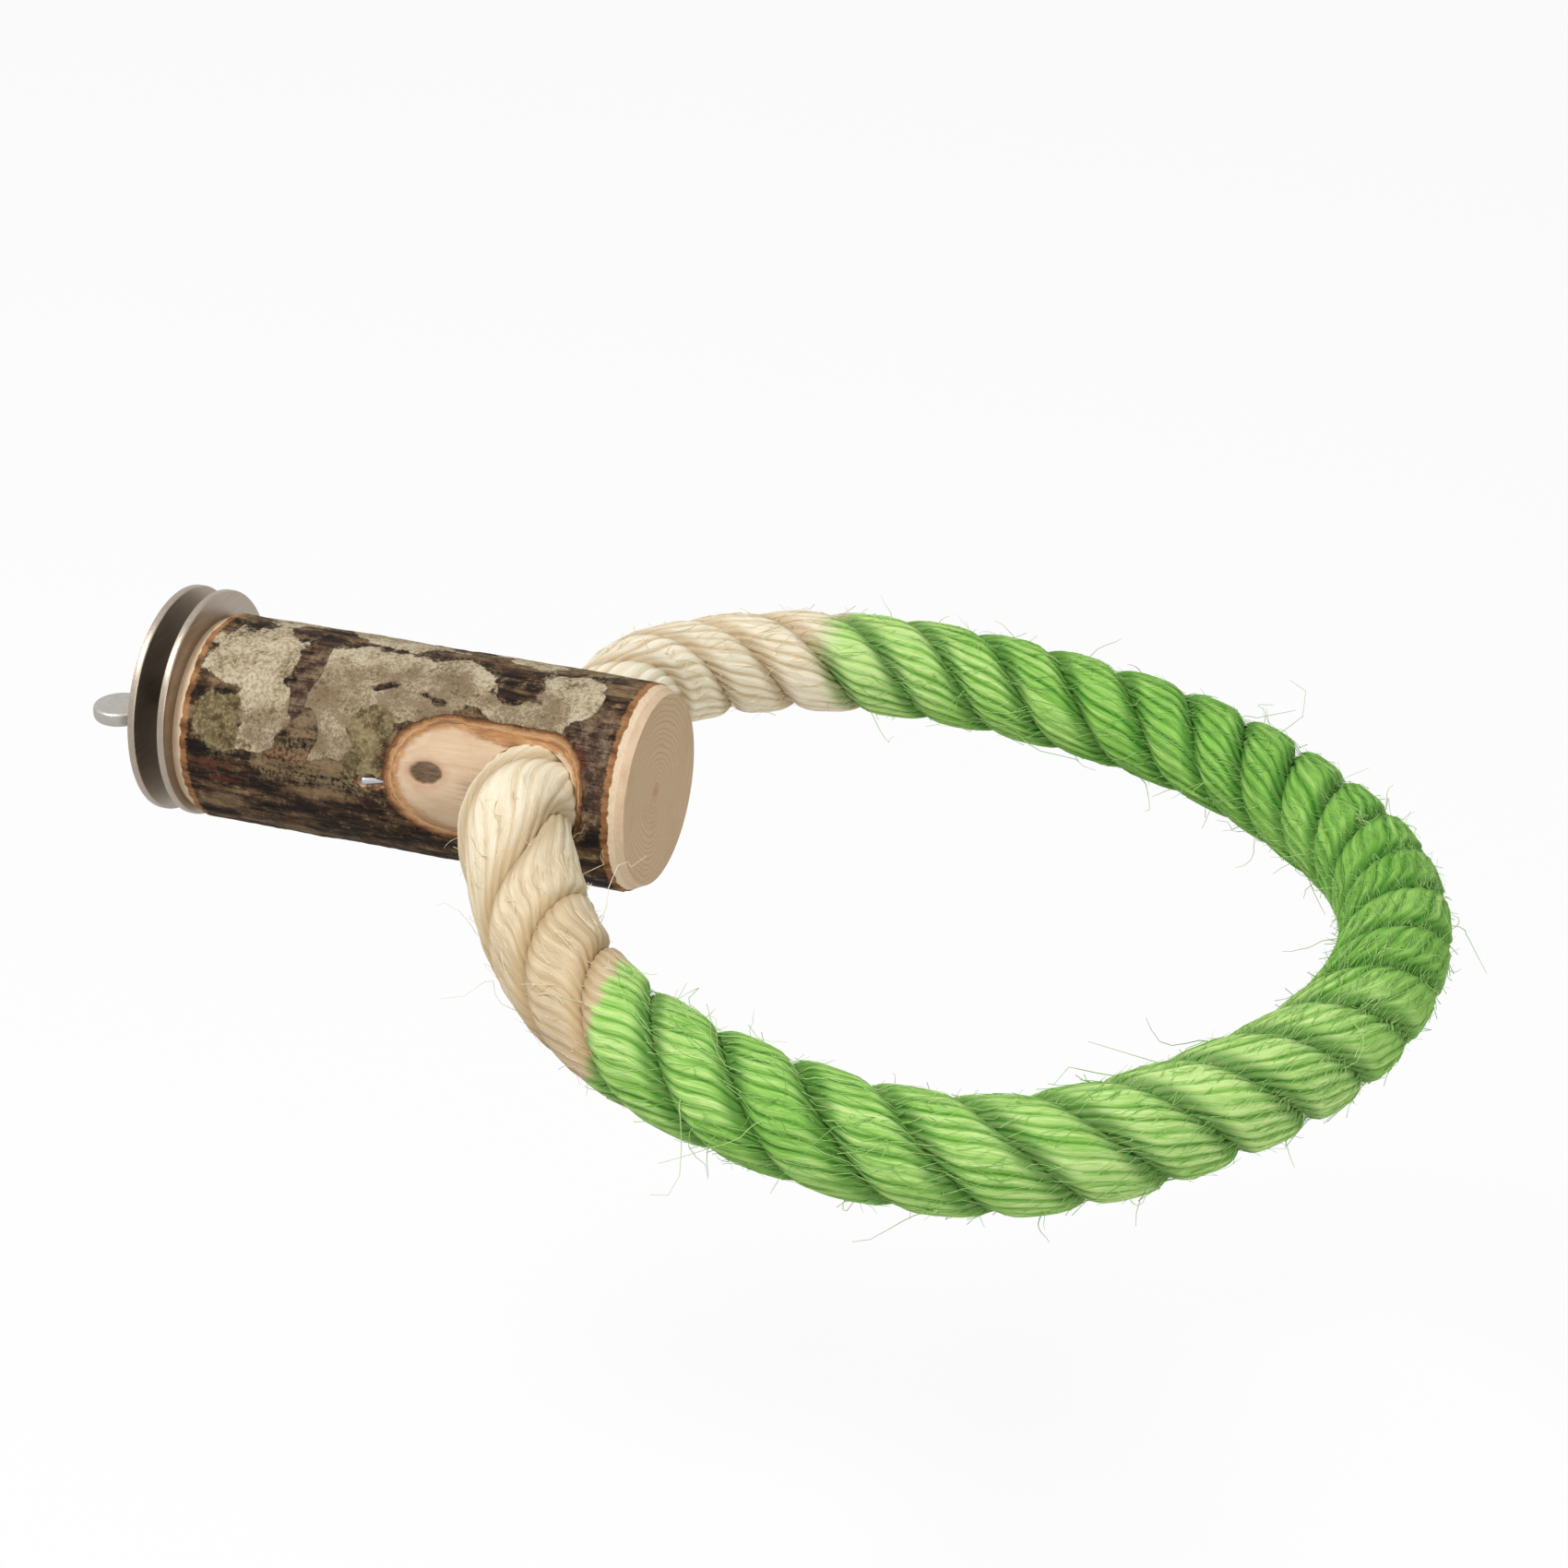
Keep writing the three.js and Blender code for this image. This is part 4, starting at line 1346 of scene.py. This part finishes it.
def build_washer(name, node):
    """Stamped washer: rolled edge in front, sharper behind."""
    low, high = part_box(node)
    left, right, outer = low.x, high.x, high.y
    hole = BOLT_RADIUS + 0.2 * MM
    roll, burr = 0.32 * MM, 0.12 * MM
    profile = [(left, hole + burr)]
    profile += arc((left + burr, outer - burr), burr, 180, 90, 5)
    profile += arc((right - roll, outer - roll), roll, 90, 0, 7)
    profile += arc((right - roll, hole + roll), roll, 0, -90, 6)
    profile += arc((left + burr, hole + burr), burr, 270, 180, 4)[:-1]
    washer = turned(name, profile, 128, WASHER_STEEL, closed=True)
    soften(washer, 50)
    return washer


def thread_height(share):
    """Height of a metric thread, from 0 at its root to 1 at its crest, over one turn."""
    return np.clip(1.35 - np.abs(share * 2 - 1) * 1.7, 0, 1)


def screw_outline(extra):
    """Outline of the bolt's wood screw end and of the hole for it, from its tail to its point."""
    low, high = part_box("hanger_bolt")
    return [
        (low.x - extra, BOLT_RADIUS + extra),
        (BOLT_SHOULDER + extra, BOLT_RADIUS + extra),
        (BOLT_SHOULDER + extra, PILOT_RADIUS + extra),
        (high.x - SCREW_POINT + extra, PILOT_RADIUS + extra),
        (high.x + extra, 0.05 * MM),
    ]


def thread_turn(x, pitch, angles):
    """Share of a turn of a thread that has gone by there, at each angle."""
    return (x / pitch - angles / (2 * math.pi)) % 1


def build_bolt():
    """Hanger bolt: a machine thread outside the log and a wood screw in it."""
    low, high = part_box("hanger_bolt")
    angles = np.linspace(0, 2 * math.pi, 40, endpoint=False)
    rings = []
    for x in np.arange(low.x, BOLT_SHOULDER, THREAD_PITCH / 10):
        lead = min(x - low.x, 0.9 * MM, (BOLT_SHOULDER - x) * 2)
        crest = min(BOLT_RADIUS, BOLT_RADIUS - 0.7 * MM + lead)
        height = thread_height(thread_turn(x, THREAD_PITCH, angles))
        radius = BOLT_RADIUS - THREAD_DEPTH * (1 - height)
        rings.append(circle(x, np.minimum(radius, crest), angles))
    for x in np.arange(BOLT_SHOULDER, high.x, SCREW_PITCH / 12):
        taper = min(1.0, (high.x - x) / SCREW_POINT)
        turn = thread_turn(x, SCREW_PITCH, angles)
        ridge = np.clip(1 - np.abs(turn * 2 - 1) * 2.6, 0, 1)
        radius = (SCREW_CORE + SCREW_RIDGE * ridge) * taper + 0.02 * MM
        rings.append(circle(x, radius, angles))
    bolt = loft("threaded_bolt", rings, ZINC)
    soften(bolt, 60)
    return bolt


def build_wing_nut():
    """Cast wing nut: a turned body with two ears melted on, and a threaded bore."""
    low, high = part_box("wing_nut")
    seat = high.x
    hub_height, base, top = 6 * MM, 6.5 * MM, 5.3 * MM
    lobe = 4.8 * MM
    lobe_out, lobe_up = high.y - lobe, seat - low.x - lobe
    lift, half_thickness = 0.8 * MM, 1.3 * MM
    back = seat - hub_height
    profile = [(seat, 0), (seat, base - 0.3 * MM), (seat - 0.3 * MM, base)]
    profile += [(back + 0.5 * MM, top + 0.08 * MM), (back, top - 0.4 * MM), (back, 0)]
    nut = turned("wing_nut_body", profile, 64, ZINC)

    outline = [(2 * MM, lift), (base, lift)]
    for t in (0.3, 0.6, 0.85):
        outline.append((base + (lobe_out + lobe / 2 - base) * t, lift + 1.1 * MM * t * t))
    outline += arc((lobe_out, lobe_up), lobe, -38, 200, 26)
    outline += [(2 * MM, hub_height - lift)]
    outline = np.array(outline)
    middle = np.array([lobe_out * 0.72, lobe_up * 0.8])
    for sign in (1, -1):
        rings = []
        for level, inset in ((-1, 0.5), (-0.7, 0.12), (0, 0), (0.7, 0.12), (1, 0.5)):
            out, up = (outline + (middle - outline) * inset * 0.12).T
            across = np.full(len(outline), level * half_thickness)
            rings.append(np.stack([seat - up, sign * out, across], axis=1))
        join_or_cut(nut, "UNION", loft("ear", rings))

    remesh = nut.modifiers.new("cast", "REMESH")
    remesh.mode = "VOXEL"
    remesh.voxel_size = 0.22 * MM
    smooth = nut.modifiers.new("fillets", "SMOOTH")
    smooth.factor = 0.5
    smooth.iterations = 9
    bake(nut)

    angles = np.linspace(0, 2 * math.pi, 48, endpoint=False)
    rings = []
    for x in np.arange(back - MM, seat + MM, THREAD_PITCH / 8):
        height = thread_height(thread_turn(x, THREAD_PITCH, angles))
        radius = BOLT_RADIUS + 0.1 * MM - THREAD_DEPTH * 0.85 * (1 - height)
        flare = max(0.0, x - seat + 0.5 * MM, back + 0.5 * MM - x)
        rings.append(circle(x, np.maximum(radius, BOLT_RADIUS - 0.6 * MM + flare * 1.4), angles))
    join_or_cut(nut, "DIFFERENCE", loft("bore", rings))
    nut.data.materials.clear()
    nut.data.materials.append(ZINC)
    soften(nut, 40)
    return nut


def build_pin(side, name):
    """Steel pin with a domed head and a point, driven aslant."""
    head, along = pin_line(side)
    dome = arc((PIN_DOME, 0), PIN_DOME, 180, 100, 5)
    profile = [(x, r * PIN_RADIUS / PIN_DOME) for x, r in dome]
    profile += [(0.6 * MM, PIN_RADIUS), (PIN_LENGTH - PIN_POINT, PIN_RADIUS)]
    profile += [(PIN_LENGTH, 0.02 * MM)]
    pin = rod_along(name, head, along, profile, 24, PIN_STEEL)
    soften(pin, 50)
    return pin


# Floor, lights and camera


def seen_rays(graph):
    """1 for rays that the camera sees, straight or mirrored or through a clear thing."""
    path = graph.add("ShaderNodeLightPath")
    return path.at_least(path.out("Is Glossy Ray")).at_least(path.out("Is Transmission Ray"))


def build_stage():
    """Pale floor and white surroundings, which light the part less brightly than they look."""
    lowest = cad_box[0].z - FLOOR_DROP
    sides = ((-1, -1), (1, -1), (1, 1), (-1, 1))
    corners = [(x * FLOOR_HALF_SIZE, y * FLOOR_HALF_SIZE, lowest) for x, y in sides]
    material, graph, _ = start_material("pale_floor")
    seen = seen_rays(graph)
    matt = graph.add("ShaderNodeBsdfDiffuse", inputs={"Color": (0.62, 0.62, 0.62, 1)})
    pale = graph.add("ShaderNodeBsdfDiffuse", inputs={"Color": (0.9, 0.9, 0.9, 1)})
    white = {"Color": (1, 1, 1, 1), "Strength": BACKGROUND_WHITE}
    glow = graph.add("ShaderNodeEmission", inputs=white)
    bright = graph.add("ShaderNodeMixShader", inputs={0: 0.9, 1: pale, 2: glow})
    both = graph.add("ShaderNodeMixShader", inputs={0: seen, 1: matt, 2: bright})
    graph.add("ShaderNodeOutputMaterial", inputs={"Surface": both})
    floor = new_piece("floor", corners, [(0, 1, 2, 3)], material)

    world = bpy.data.worlds.new("studio")
    bpy.context.scene.world = world
    world.use_nodes = True
    world.node_tree.nodes.clear()
    graph = Graph(world.node_tree)
    soft = {"Color": (1, 1, 1, 1), "Strength": SURROUND_LIGHT}
    soft = graph.add("ShaderNodeBackground", inputs=soft)
    bright = graph.add("ShaderNodeBackground", inputs=white)
    both = graph.add("ShaderNodeMixShader", inputs={0: seen_rays(graph), 1: soft, 2: bright})
    graph.add("ShaderNodeOutputWorld", inputs={"Surface": both})


def add_light(name, place, size, power):
    lamp = bpy.data.lights.new(name, "AREA")
    lamp.shape = "DISK"
    lamp.size = size
    lamp.energy = power
    light = bpy.data.objects.new(name, lamp)
    light.location = place
    aim = CAMERA_TARGET - Vector(place)
    light.rotation_euler = aim.to_track_quat("-Z", "Y").to_euler()
    bpy.context.scene.collection.objects.link(light)


def build_camera():
    azimuth, elevation, roll = CAMERA_AZIMUTH, CAMERA_ELEVATION, CAMERA_ROLL
    level = Vector((math.cos(azimuth), math.sin(azimuth), 0))
    away = Vector((math.sin(azimuth), -math.cos(azimuth), 0))
    back = away * math.cos(elevation) + Vector(UP) * math.sin(elevation)
    upright = back.cross(level)
    right = level * math.cos(roll) + upright * math.sin(roll)
    up = upright * math.cos(roll) - level * math.sin(roll)
    lens = bpy.data.cameras.new("camera")
    lens.sensor_width = CAMERA_SENSOR
    lens.lens = CAMERA_LENS
    lens.clip_start = 0.01
    camera = bpy.data.objects.new("camera", lens)
    turn = Matrix((right, up, back)).transposed().to_4x4()
    camera.matrix_world = Matrix.Translation(CAMERA_TARGET + back * CAMERA_DISTANCE) @ turn
    bpy.context.scene.collection.objects.link(camera)
    bpy.context.scene.camera = camera


def put(piece, body, slot, *nodes):
    """Rides a finished piece on its body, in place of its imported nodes."""
    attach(piece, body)
    if nodes:
        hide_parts(*nodes)


build_camera()
path, rope_length = rope_path()
rope = build_rope(path)
put(rope, "log", "sisal", "rope_ring")
fibres = [build_lying_fibres(path, rope_length), build_fibres(rope, rope_length)]
for piece in fibres:
    put(piece, "log", "sisal")

put(build_wood(), "log", "wood", "peg_wood")
put(build_bark(), "log", "bark", "peg_bark")
put(build_washer("front_clamp_washer", "front_washer"), "log", "washer_steel", "front_washer")
put(build_washer("rear_clamp_washer", "rear_washer"), "rear_washer", "washer_steel", "rear_washer")
put(build_bolt(), "log", "bolt_steel", "hanger_bolt")
put(build_wing_nut(), "wing_nut", "nut_steel", "wing_nut")
put(build_pin(-1, "bright_pin_near"), "log", "pin_steel", "rope_pin_near")
put(build_pin(1, "bright_pin_far"), "log", "pin_steel", "rope_pin_far")

build_stage()
add_light("key", (-0.45, -0.6, 1.2), 0.5, 14.5)
add_light("fill", (1.0, -0.8, 0.5), 0.9, 6.5)

bpy.context.scene.view_settings.view_transform = "Standard"
